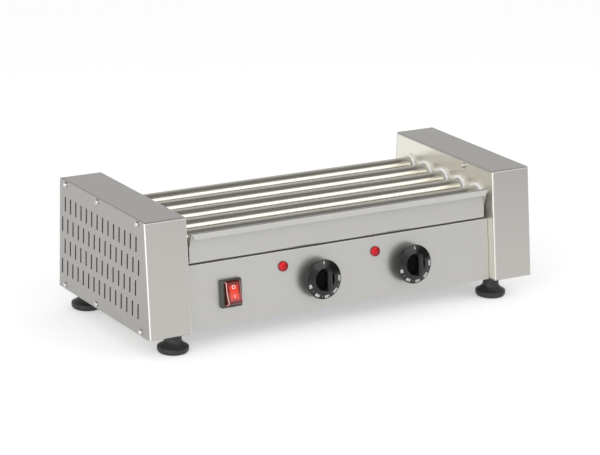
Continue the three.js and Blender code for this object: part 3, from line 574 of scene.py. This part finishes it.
# Polishing rings of a few hundredths of a millimetre are drawn 0.7 mm apart, under a haze that
# lies in patches about 45 mm across
across = add(tree, "Mapping", {"Vector": place, "Scale": [1 / (step * MM) for step in (0.7, 125, 125)]})
rings = add(tree, "TexNoise", {"Vector": across.outputs[0], "Scale": 1.0, "Detail": 3.0})
haze = add(tree, "TexNoise", {"Vector": place, "Scale": 1 / (45 * MM), "Detail": 2.0})
blend = add(tree, "Mix", {0: 0.4, 2: rings.outputs[0], 3: haze.outputs[0]})
polish = add(tree, "MapRange", {"Value": blend.outputs[0], "From Min": 0.3, "From Max": 0.7,
                                 "To Min": 0.19, "To Max": 0.27})
tint = add(tree, "Mix", {0: blend.outputs[0], 6: colour("#D3CFC3"), 7: colour("#DFDCD2")}, data_type="RGBA")
tree.links.new(polish.outputs[0], shader.inputs["Roughness"])
tree.links.new(tint.outputs[2], shader.inputs["Base Color"])

low, high = ROLLER_ENDS
tube_profile = rounded([(ROLLER_RADIUS - ROLLER_WALL, low), (ROLLER_RADIUS, low), (ROLLER_RADIUS, high),
                        (ROLLER_RADIUS - ROLLER_WALL, high)], [0.3] * 4, steps=3)
for i, y in enumerate(ROLLER_Y):
    piece(f"heated_roller_{i + 1}", turned(tube_profile, 72), roller_steel, f"roller_set_{i + 1}",
          "roller_steel", f"roller_{i + 1}", place=at(0, y, ROLLER_Z) @ turn(90, "Y"))


# Drip tray
# One sheet of 1 mm stainless, folded: a shallow pan under the rollers whose front rises, then
# turns forward, slightly up, and down in a lip that is the grip. The lip's ends are cut at a
# slant, and a welded cheek closes each end behind them.
TRAY_HALF = 200.4
TRAY_SHEET = 1
TRAY_FLOOR = 74.3
TRAY_BACK_Y = 90.8
TRAY_WALL = 8
CHEEK_LOW = 91.5
GRIP_LOW = 103.5
LIP_UNDER = 110.7
LIP_LOW = 107.7
GRIP_END = (3.6, 6.5)
FACE_RECESS = 10
BAND_RECESS = 1.5
BAND_TUCK = 1
END_SETBACK = 3
END_FOOT = 0.8


def block(xs, ys, zs):
    """A plain block between two values each of x, y and z."""
    return skin([[(x, ys[0], zs[0]), (x, ys[1], zs[0]), (x, ys[1], zs[1]), (x, ys[0], zs[1])] for x in xs])


def offset(line, distance):
    """The same open line moved to its left, its corners mitred."""
    moved_line = []
    for i, point in enumerate(line):
        before = Vector(line[max(i - 1, 0)])
        after = Vector(line[min(i + 1, len(line) - 1)])
        here = Vector(point)
        a = (here - before).normalized() if i else (after - here).normalized()
        b = (after - here).normalized() if i < len(line) - 1 else a
        normal = (Vector((-a.y, a.x)) + Vector((-b.y, b.x))).normalized()
        reach = distance / max(normal.dot(Vector((-b.y, b.x))), 0.2)
        moved_line.append(tuple(here + normal * reach))
    return moved_line


def folded_sheet(line, thickness, half):
    """A sheet folded along an open [y, z] line; half gives its half width at each point."""
    inner = offset(line, thickness)
    rows = []
    for (y, z), (inner_y, inner_z) in zip(line, inner):
        x = half(y, z)
        rows.append([(-x, y, z), (x, y, z), (x, inner_y, inner_z), (-x, inner_y, inner_z)])
    return skin(rows)


def tray_half(y, z):
    """The tray's half width at a point of its line: full, but for the lip's slanted ends."""
    inset, rise = GRIP_END
    on_band = y < front_y(z, BAND_RECESS + 2 * BAND_TUCK)
    return TRAY_HALF - (inset * max(1 - (z - GRIP_LOW) / rise, 0) if on_band else 0)


# The sheet is ground along its length, so its scratches run from left to right
sheet_steel = brushed_stainless("brushed_stainless_sheet", "#C4C3BF", (160, 1.2, 1.2), 0.36)

tray_line = rounded([
    (TRAY_BACK_Y, TRAY_FLOOR + TRAY_WALL),
    (TRAY_BACK_Y, TRAY_FLOOR),
    (front_y(TRAY_FLOOR, FACE_RECESS), TRAY_FLOOR),
    (front_y(LIP_LOW, FACE_RECESS), LIP_LOW),
    (front_y(LIP_UNDER, BAND_RECESS), LIP_UNDER),
    (front_y(GRIP_LOW, BAND_RECESS) + BAND_TUCK, GRIP_LOW),
], [0, 2, 3, 1, 1.5, 0], closed=False)
cheek_line = [
    (front_y(CHEEK_LOW, FACE_RECESS + TRAY_SHEET / 2), CHEEK_LOW),
    (front_y(CHEEK_LOW, FACE_RECESS), CHEEK_LOW),
    (front_y(LIP_UNDER, BAND_RECESS), LIP_UNDER),
    (front_y(LIP_LOW, FACE_RECESS + TRAY_SHEET / 2), LIP_LOW),
]
tray = [folded_sheet(tray_line, -TRAY_SHEET, tray_half)]
for side in (-1, 1):
    ends = (side * (TRAY_HALF - TRAY_SHEET), side * TRAY_HALF)
    tray.append(block(ends, (front_y(TRAY_FLOOR, FACE_RECESS) + END_SETBACK, TRAY_BACK_Y - TRAY_SHEET),
                      (TRAY_FLOOR + END_FOOT, TRAY_FLOOR + TRAY_WALL)))
    tray.append(skin([[(x, y, z) for y, z in cheek_line] for x in ends]))
piece("folded_tray", together(*tray), sheet_steel, "tray", "stainless", "drip_tray", bevel=0.25)


# Control panel
# A leaning stainless front, folded back at the top under the tray, with punched openings for
# the switch, the two pilot lamps and the two thermostats.
PANEL_HALF = 206.5
PANEL_TOP = 72.9
PANEL_TOE_Y = front_y(0, 12)
PANEL_LEDGE = 18
PANEL_BEND = 1.4
SWITCH = (-150.05, 36)
LAMPS = {"left": (-79.5, 56), "right": (45.5, 56)}
KNOBS = {"left": (-32.5, 35.7), "right": (92.5, 35.7)}
SWITCH_OPENING = (11.3, 15.2)
LAMP_HOLE = 5
SHAFT_HOLE = 4.5
ON_PANEL = at(0, PANEL_TOE_Y, 0) @ turn(90 - degrees(LEAN), "X")

panel_top_y = PANEL_TOE_Y + PANEL_TOP * tan(LEAN)
panel_line = rounded([(panel_top_y + PANEL_LEDGE, PANEL_TOP), (panel_top_y, PANEL_TOP), (PANEL_TOE_Y, 0)],
                     [0, PANEL_BEND, 0], closed=False)
panel = folded_sheet(panel_line, SHEET, lambda y, z: PANEL_HALF)
half_x, half_y = SWITCH_OPENING
openings = [moved(block((-half_x, half_x), (-half_y, half_y), PUNCH), ON_PANEL @ at(*SWITCH, 0))]
openings += [moved(rod(LAMP_HOLE, *PUNCH), ON_PANEL @ at(x, y, 0)) for x, y in LAMPS.values()]
openings += [moved(rod(SHAFT_HOLE, *PUNCH), ON_PANEL @ at(x, y, 0)) for x, y in KNOBS.values()]
piece("control_panel", cut(panel, *openings), sheet_steel, "cabinet", "stainless", "front_panel")


# Rocker switch
# A snap-in mains switch: a dark grey nylon bezel round a well, and in it a clear red rocker of
# polycarbonate, lit from inside by a neon lamp, with a white ring and bar moulded in.
BEZEL = (13.5, 16.25)
BEZEL_OUT = 5.5
WELL = (9.55, 14.2)
SWITCH_BODY = (11, 14.9)
ROCKER_HALF_WIDTH = 9.25
ROCKER_REACH = 13.9
ROCKER_TILT = 12
ROCKER_PIVOT = 3.5
ROCKER_FACE = (6.3, 7.8)
ROCKER_UNDER = 5
ROCKER_PIN = (1.2, 10.2)
ROCKER_STEPS = 8
LIT_HALF = (5.9, 8)
LIT_FADE = (0.6, 1.3)
# Where the rocker's painted rim highlight and painted side shade begin
RIM_HIGHLIGHT_FADE = (1.41, 1.46)
SIDE_SHADE_FADE = (1.54, 1.56)
OFF_RING = (6.4, 1.5, 2.2)
ON_BAR = (-4.4, 0.35, 1.6)
MARK_DEPTH = (-0.2, 0.08)

# Moulded nylon has a dull, even gloss, which the mould's spark-eroded texture breaks up. It is
# about 0.1 mm fine, and drawn at 0.5 mm
bezel_nylon, tree, shader = finished("moulded_grey_nylon", {
    "Base Color": colour("#434341"), "Roughness": 0.42, "IOR": 1.53})
place = add(tree, "TexCoord").outputs["Object"]
pores = add(tree, "TexNoise", {"Vector": place, "Scale": 1 / (0.5 * MM), "Detail": 2.0})
relief = add(tree, "Bump", {"Height": pores.outputs[0], "Strength": 0.15, "Distance": 0.03 * MM})
tree.links.new(relief.outputs[0], shader.inputs["Normal"])


def round_oblong(half_x, half_y, radius, z, steps=6):
    """One row of points round an oblong with round corners."""
    corners = [(-half_x, -half_y), (half_x, -half_y), (half_x, half_y), (-half_x, half_y)]
    return [(x, y, z) for x, y in rounded(corners, [radius] * 4, steps=steps)]


bezel_rows = [(*WELL, 0.6, -9), (*WELL, 0.6, 5), (WELL[0] + 0.3, WELL[1] + 0.3, 0.8, 5.35),
              (WELL[0] + 0.7, WELL[1] + 0.7, 1.0, BEZEL_OUT), (BEZEL[0] - 1.6, BEZEL[1] - 1.6, 1.2, 5.2),
              (BEZEL[0] - 0.7, BEZEL[1] - 0.7, 1.5, 4.7), (BEZEL[0] - 0.2, BEZEL[1] - 0.2, 1.9, 4),
              (*BEZEL, 2, 3.4), (*BEZEL, 2, SEAT_GAP), (*SWITCH_BODY, 1, SEAT_GAP), (*SWITCH_BODY, 1, -22)]
piece("switch_bezel", skin([round_oblong(*row) for row in bezel_rows]), bezel_nylon, "cabinet",
      "dark_plastic", "switch_housing", place=ON_PANEL @ at(*SWITCH, 0))

rocker_red, tree, shader = finished("clear_red_polycarbonate", {
    "Base Color": colour("#B81C12"), "Roughness": 0.14, "IOR": 1.58, "Specular IOR Level": 0.4,
    "Emission Strength": 0.1})
# The neon lamp behind the middle makes it glow orange-red there, and darker towards the edges.
# Fades are in shares of the lit patch's half width and half height
rocker_rest = ON_PANEL @ at(*SWITCH, ROCKER_PIVOT) @ turn(-ROCKER_TILT, "X")
lens_middle = CABINET @ rocker_rest @ Vector((0, 0.5, ROCKER_FACE[0]))
place = add(tree, "TexCoord").outputs["Object"]
near = add(tree, "Mapping", {"Vector": place, "Location": -lens_middle})
flattened = add(tree, "Mapping", {
    "Vector": near.outputs[0], "Scale": (1 / (LIT_HALF[0] * MM), 0, 1 / (LIT_HALF[1] * MM))})
outward = add(tree, "VectorMath", {0: flattened.outputs[0]}, operation="ABSOLUTE")
across = add(tree, "SeparateXYZ", {0: outward.outputs[0]})
away = add(tree, "Math", {0: across.outputs["X"], 1: across.outputs["Z"], 2: 0.3}, operation="SMOOTH_MAX")
lit = add(tree, "MapRange", {
    "Value": away.outputs["Value"], "From Min": LIT_FADE[0], "From Max": LIT_FADE[1],
    "To Min": 1.0, "To Max": 0.0}, interpolation_type="SMOOTHSTEP")
glow = add(tree, "Mix", {0: lit.outputs[0], 6: colour("#640C07"), 7: colour("#E43824")}, data_type="RGBA")
# The rounded edge gets a painted highlight, a pale rim, and painted shade makes the sides in the well nearly
# black
edge = add(tree, "MapRange", {
    "Value": across.outputs["X"], "From Min": RIM_HIGHLIGHT_FADE[0], "From Max": RIM_HIGHLIGHT_FADE[1]})
painted_rim_highlight = add(tree, "Mix", {0: edge.outputs[0], 6: glow.outputs[2], 7: colour("#F4B7AA")}, data_type="RGBA")
side = add(tree, "MapRange", {
    "Value": across.outputs["X"], "From Min": SIDE_SHADE_FADE[0], "From Max": SIDE_SHADE_FADE[1]})
shown = add(tree, "Mix", {0: side.outputs[0], 6: painted_rim_highlight.outputs[2], 7: colour("#4A1814")}, data_type="RGBA")
tree.links.new(shown.outputs[2], shader.inputs["Base Color"])
tree.links.new(shown.outputs[2], shader.inputs["Emission Color"])

face_angle = degrees(atan2(ROCKER_FACE[1], (ROCKER_REACH ** 2 - ROCKER_FACE[1] ** 2) ** 0.5))
under_angle = -degrees(atan2(ROCKER_UNDER, (ROCKER_REACH ** 2 - ROCKER_UNDER ** 2) ** 0.5))
end_y = ROCKER_REACH * cos(radians(face_angle))


def rocker_face(y):
    """The height of the rocker's hollow face."""
    return ROCKER_FACE[0] + (ROCKER_FACE[1] - ROCKER_FACE[0]) * (y / end_y) ** 2


end_arc = [radians(under_angle + (face_angle - under_angle) * i / ROCKER_STEPS)
           for i in range(ROCKER_STEPS + 1)]
face_line = [end_y * (1 - i / ROCKER_STEPS) for i in range(1, 2 * ROCKER_STEPS)]
rocker_side = [(ROCKER_REACH * cos(a), ROCKER_REACH * sin(a)) for a in end_arc]
rocker_side += [(y, rocker_face(y)) for y in face_line]
rocker_side += [(-ROCKER_REACH * cos(a), ROCKER_REACH * sin(a)) for a in reversed(end_arc)]
rocker = skin([[(x, y, z) for y, z in rocker_side] for x in (-ROCKER_HALF_WIDTH, ROCKER_HALF_WIDTH)])
pin_radius, pin_end = ROCKER_PIN
pins = moved(rod(pin_radius, -pin_end, pin_end, 24), turn(90, "Y"))
piece("red_rocker", together(rocker, pins), rocker_red, "rocker", "red_lens", "switch_rocker",
      place=rocker_rest, bevel=0.9)

# Printed white, with thinner and thicker ink in specks of 1.5 mm
white_marks, tree, shader = finished("white_printing_ink", {
    "Base Color": colour("#F5F6F4"), "Roughness": 0.5, "IOR": 1.5})
place = add(tree, "TexCoord").outputs["Object"]
wear = add(tree, "TexNoise", {"Vector": place, "Scale": 1 / (1.5 * MM), "Detail": 2.0})
thin = add(tree, "Mix", {0: wear.outputs[0], 6: colour("#EEF0EE"), 7: colour("#FCFDFB")}, data_type="RGBA")
tree.links.new(thin.outputs[2], shader.inputs["Base Color"])

ring_y, inner, outer = OFF_RING
bar_y, half_x, half_y = ON_BAR
low, high = MARK_DEPTH
ring = turned([(inner, low), (outer, low), (outer, high), (inner, high)], 40)
bar = block((-half_x, half_x), (-half_y, half_y), MARK_DEPTH)
for name, y, mark in (("off_ring", ring_y, ring), ("on_bar", bar_y, bar)):
    slope = degrees(atan2(2 * (ROCKER_FACE[1] - ROCKER_FACE[0]) * y, end_y ** 2))
    piece(name, mark, white_marks, "rocker", "bush_white",
          place=rocker_rest @ at(0, y, rocker_face(y)) @ turn(slope, "X"))


# Pilot lamps
# Neon indicator lamps with a domed lens of clear red plastic on a barrel that snaps into the
# panel. The dome shows a darker rim and a small bright mark of the studio's light.
LENS_RADIUS = 6
LENS_HEIGHT = 3.6
LENS_RIM = 1.4
LAMP_BARREL = 4.6
BARREL_END = -20

# Clear acrylic, smooth from its mould: it looks deeper in colour where it is seen aslant
lens_red, tree, shader = finished("clear_red_acrylic", {
    "Base Color": colour("#B01018"), "Roughness": 0.06, "IOR": 1.49, "Specular IOR Level": 0.35,
    "Emission Strength": 0.03, "Emission Color": colour("#C8201C")})
edge = add(tree, "LayerWeight", {"Blend": 0.8})
deep = add(tree, "Mix", {0: edge.outputs["Facing"], 6: colour("#DE0C1A"), 7: colour("#3A0406")},
           data_type="RGBA")
tree.links.new(deep.outputs[2], shader.inputs["Base Color"])

dome = [(LENS_RADIUS * cos(radians(a)), LENS_RIM + (LENS_HEIGHT - LENS_RIM) * sin(radians(a)))
        for a in range(0, 91, 10)]
lamp_profile = [(0, BARREL_END), (LAMP_BARREL, BARREL_END), (LAMP_BARREL, SEAT_GAP),
                (LENS_RADIUS - 0.2, SEAT_GAP), (LENS_RADIUS, SEAT_GAP + 0.2)] + dome
for hand, (x, y) in LAMPS.items():
    piece(f"{hand}_lamp", turned(lamp_profile, 56), lens_red, "cabinet", "red_lens",
          f"pilot_lamp_{hand}", place=ON_PANEL @ at(x, y, 0), crease=50)


# Thermostat knobs
# Knobs moulded in black phenolic: a skirt whose sloping face carries the printed temperatures,
# two half-moon hollows, and an upright bar between them to hold. They push onto the shafts.
KNOB_RADIUS = 23
KNOB_UNDER = 7.5
HUB_RADIUS = 7
HUB_UNDER = 1.5
UNDER_HOLLOW = (20.8, 8.6)
SKIRT_EDGE = (22.0, 12.2)
SKIRT_TOP = (13.5, 14.35)
HOLLOW_RADIUS = 13
HOLLOW_FLOOR = 10.4
GRIP_OUT = 27
MARK_RADIUS = 19.7
POINTER = (19.4, 0.4, 1.7)
DOT_RADIUS = 0.32
DOT_STEP = 19.5
NUMBER_HEIGHT = 3.1
DIGIT_SHARE = 0.7
INK = (-0.1, 0.06)
DIGIT_HALF_DEPTH = 0.05
DIGIT_LIFT = 0.01
BOLDNESS = 0.1
NUMBERS = {"50": -163, "100": -121, "150": -82, "200": -46, "250": -2}

# Phenolic is a deep glossy black, softened a little by a fine bloom from the mould, 0.6 mm
# across, and by handling marks about 8 mm across
phenolic, tree, shader = finished("moulded_black_phenolic", {
    "Base Color": colour("#090A0A"), "Roughness": 0.14, "IOR": 1.5})
place = add(tree, "TexCoord").outputs["Object"]
bloom = add(tree, "TexNoise", {"Vector": place, "Scale": 1 / (0.6 * MM), "Detail": 2.0})
handled = add(tree, "TexNoise", {"Vector": place, "Scale": 1 / (8 * MM), "Detail": 3.0})
gloss = add(tree, "MapRange", {"Value": handled.outputs[0], "From Min": 0.3, "From Max": 0.7,
                                "To Min": 0.1, "To Max": 0.18})
relief = add(tree, "Bump", {"Height": bloom.outputs[0], "Strength": 0.08, "Distance": 0.02 * MM})
tree.links.new(gloss.outputs[0], shader.inputs["Roughness"])
tree.links.new(relief.outputs[0], shader.inputs["Normal"])

skirt_profile = [
    (0, HUB_UNDER), (HUB_RADIUS, HUB_UNDER), (HUB_RADIUS, UNDER_HOLLOW[1]), UNDER_HOLLOW,
    (UNDER_HOLLOW[0], KNOB_UNDER), (22.6, KNOB_UNDER), (22.9, 7.65), (KNOB_RADIUS, 8), (KNOB_RADIUS, 11.3),
    (22.85, 11.75), (22.5, 12.0), SKIRT_EDGE, SKIRT_TOP, (HOLLOW_RADIUS, 14.4),
    (HOLLOW_RADIUS - 0.35, 14.2), (HOLLOW_RADIUS - 0.5, 13.8), (HOLLOW_RADIUS - 0.9, HOLLOW_FLOOR + 0.5),
    (HOLLOW_RADIUS - 1.4, HOLLOW_FLOOR), (0, HOLLOW_FLOOR)]
# Half width, half height, corner radius and height of each level of the bar, from its foot up
grip_rows = [(3.5, 12.75, 1.0, 9.4), (3.3, 12.7, 1.0, 14.4), (3.0, 12.5, 1.0, 23.6), (2.7, 12.3, 1.0, 24.9),
             (2.2, 12.0, 1.0, 25.9), (1.5, 11.4, 0.9, 26.6), (0.7, 10.6, 0.5, GRIP_OUT)]


def number(text):
    """A printed number as a thin form, its middle at the origin."""
    letters = bpy.data.curves.new("number", "FONT")
    letters.body = text
    letters.size = NUMBER_HEIGHT / DIGIT_SHARE
    letters.align_x = "CENTER"
    letters.align_y = "CENTER"
    letters.extrude = DIGIT_HALF_DEPTH
    letters.offset = BOLDNESS
    letters.resolution_u = 4
    holder = bpy.data.objects.new("number", letters)
    bpy.context.scene.collection.objects.link(holder)
    shape = bmesh.new()
    shape.from_mesh(bpy.data.meshes.new_from_object(holder))
    bmesh.ops.remove_doubles(shape, verts=shape.verts, dist=1e-4)
    bpy.data.objects.remove(holder)
    bpy.data.curves.remove(letters)
    return shape


def on_skirt(angle, radius):
    """A place on the skirt's sloping face, its y axis pointing out along the radius."""
    slope = degrees(atan2(SKIRT_TOP[1] - SKIRT_EDGE[1], SKIRT_EDGE[0] - SKIRT_TOP[0]))
    height = SKIRT_EDGE[1] + (SKIRT_EDGE[0] - radius) * tan(radians(slope))
    return turn(angle - 90, "Z") @ at(0, radius, height) @ turn(-slope, "X")


pointer_radius, half_x, half_y = POINTER
for hand, (x, y) in KNOBS.items():
    here = ON_PANEL @ at(x, y, 0)
    knob = together(turned(skirt_profile, 96), skin([round_oblong(*row) for row in grip_rows]))
    piece(f"{hand}_knob_moulding", knob, phenolic, f"knob_set_{hand}", "black_plastic", f"knob_{hand}",
          place=here)
    marks = [moved(block((-half_x, half_x), (-half_y, half_y), INK), on_skirt(90, pointer_radius))]
    for text, angle in NUMBERS.items():
        marks.append(moved(number(text), on_skirt(angle, MARK_RADIUS) @ at(0, 0, DIGIT_LIFT)))
        if text != "250":
            marks.append(moved(rod(DOT_RADIUS, *INK, 16), on_skirt(angle + DOT_STEP, MARK_RADIUS)))
    piece(f"{hand}_knob_marks", together(*marks), white_marks, f"knob_set_{hand}", "bush_white", place=here)


# Levelling feet
# Black rubber-clad feet, bell shaped, on threaded studs that screw into the nuts in the
# housings' floors. The lower band is straight; above it the bell narrows to its neck.
FOOT_HEIGHT = 25
FOOT_RADIUS = 18
NECK_RADIUS = 9.5
STUD_RADIUS = 3.9
STUD_FOOT = 24.6
STUD_END = 40.9

# Rubber is dull and near black, with dust that clings in patches about 5 mm across
foot_rubber, tree, shader = finished("moulded_black_rubber", {
    "Base Color": colour("#232423"), "Roughness": 0.48, "IOR": 1.52})
place = add(tree, "TexCoord").outputs["Object"]
dust = add(tree, "TexNoise", {"Vector": place, "Scale": 1 / (5 * MM), "Detail": 4.0})
dusty = add(tree, "Mix", {0: dust.outputs[0], 6: colour("#1C1D1C"), 7: colour("#2E2F2E")}, data_type="RGBA")
relief = add(tree, "Bump", {"Height": dust.outputs[0], "Strength": 0.1, "Distance": 0.05 * MM})
tree.links.new(dusty.outputs[2], shader.inputs["Base Color"])
tree.links.new(relief.outputs[0], shader.inputs["Normal"])

bell = [(0, 0), (15.6, 0), (16.4, 0.4), (17.7, 2.2), (FOOT_RADIUS, 3), (FOOT_RADIUS, 6.4), (17.8, 6.9),
        (17.2, 7.3)]
bell += [(NECK_RADIUS + 7.4 * (1 - t / 10) ** 2.2, 7.4 + 8.6 * (t / 10)) for t in range(11)]
bell += [(NECK_RADIUS, 24), (NECK_RADIUS - 0.4, STUD_FOOT), (STUD_RADIUS, STUD_FOOT),
         (STUD_RADIUS, STUD_END - 0.5), (STUD_RADIUS - 0.5, STUD_END), (0, STUD_END)]
for end, (x, y) in FOOT_PLACES.items():
    for hand, side in (("left", -1), ("right", 1)):
        piece(f"{end}_{hand}_foot", turned(bell, 56), foot_rubber, f"levelling_foot_{end}_{hand}",
              "foot_rubber", f"foot_{end}_{hand}", place=at(side * x, y, -FOOT_HEIGHT))


# Cable gland
# A black nylon bush moulded in one piece: a tapered mouth for the mains lead, a flange outside
# the rear wall, and inside it a collar that has snapped through the wall's hole and holds it.
GLAND = (-170, 96, 22)

# Moulded nylon with the same fine texture as the switch's bezel
gland_nylon, tree, shader = finished("moulded_black_nylon", {
    "Base Color": colour("#202120"), "Roughness": 0.4, "IOR": 1.53})
place = add(tree, "TexCoord").outputs["Object"]
pores = add(tree, "TexNoise", {"Vector": place, "Scale": 1 / (0.5 * MM), "Detail": 2.0})
relief = add(tree, "Bump", {"Height": pores.outputs[0], "Strength": 0.15, "Distance": 0.03 * MM})
tree.links.new(relief.outputs[0], shader.inputs["Normal"])

gland_profile = rounded(
    [(4, -12), (5.8, -12), (9.9, -4.2), (10.5, -4.0), (10.5, -SEAT_GAP), (6.9, -SEAT_GAP), (6.9, 1.4),
     (10.3, 1.4), (10.3, 5.3), (4, 5.3)], [0.5, 0.5, 0.5, 0.5, 0.3, 0, 0, 0.3, 0.5, 0.3], steps=4)
piece("rear_gland", turned(gland_profile, 48), gland_nylon, "cabinet", "black_plastic", "cable_gland",
      place=at(*GLAND) @ turn(90, "X"))


# Chassis, drive and heaters
# What the housings and the floor pan hold, seen through the slots, from behind and from below.
# These keep the drawing's own solids and get their finishes here.
def dress(material, *names):
    """Gives solids of the drawing their finish."""
    for name in names:
        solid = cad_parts[name]
        if not solid.material_slots:
            solid.data.materials.append(None)
        for slot in solid.material_slots:
            slot.link = "OBJECT"
            slot.material = material


# Zinc-plated steel: passivated grey sheet with a faint crystalline mottle about 6 mm across
zinc_plate, tree, shader = finished("zinc_plated_steel", {
    "Base Color": colour("#A3A5A6"), "Metallic": 1.0, "Roughness": 0.4})
place = add(tree, "TexCoord").outputs["Object"]
spangle = add(tree, "TexVoronoi", {"Vector": place, "Scale": 1 / (6 * MM)})
mottle = add(tree, "Mix", {0: spangle.outputs["Distance"], 6: colour("#ABADAE"), 7: colour("#94979A")},
             data_type="RGBA")
tree.links.new(mottle.outputs[2], shader.inputs["Base Color"])
dress(zinc_plate, "chassis_pan", "heater_bar_left", "heater_bar_right", "thermostat_left", "thermostat_right",
      "thermostat_shaft_left", "thermostat_shaft_right")

# Oiled carbon steel: dark, with patches of wetter oil about 10 mm across
oiled_steel, tree, shader = finished("oiled_carbon_steel", {
    "Base Color": colour("#57544E"), "Metallic": 1.0, "Roughness": 0.4})
place = add(tree, "TexCoord").outputs["Object"]
oil = add(tree, "TexNoise", {"Vector": place, "Scale": 1 / (10 * MM), "Detail": 3.0})
wet = add(tree, "MapRange", {"Value": oil.outputs[0], "To Min": 0.25, "To Max": 0.55})
tree.links.new(wet.outputs[0], shader.inputs["Roughness"])
dress(oiled_steel, "drive_chain", "motor_sprocket", *[f"roller_sprocket_{i}" for i in range(1, 6)])

# Grey alkyd enamel on the motor's castings, with a light orange peel about 2 mm across
grey_enamel, tree, shader = finished("grey_motor_enamel", {
    "Base Color": colour("#6D7072"), "Roughness": 0.4, "IOR": 1.5})
place = add(tree, "TexCoord").outputs["Object"]
peel = add(tree, "TexNoise", {"Vector": place, "Scale": 1 / (2 * MM), "Detail": 2.0})
relief = add(tree, "Bump", {"Height": peel.outputs[0], "Strength": 0.2, "Distance": 0.05 * MM})
tree.links.new(relief.outputs[0], shader.inputs["Normal"])
dress(grey_enamel, "gear_motor")

# Heating element sheath: nickel alloy tube, straw to grey with heat in bands about 30 mm long
heat_tinted, tree, shader = finished("heat_tinted_alloy_sheath", {
    "Base Color": colour("#8A8074"), "Metallic": 1.0, "Roughness": 0.45})
place = add(tree, "TexCoord").outputs["Object"]
bands = add(tree, "TexNoise", {"Vector": place, "Scale": 1 / (30 * MM), "Detail": 2.0})
heat = add(tree, "Mix", {0: bands.outputs[0], 6: colour("#6C6762"), 7: colour("#A08C6E")}, data_type="RGBA")
tree.links.new(heat.outputs[2], shader.inputs["Base Color"])
dress(heat_tinted, *[f"heater_{i}" for i in range(1, 6)])
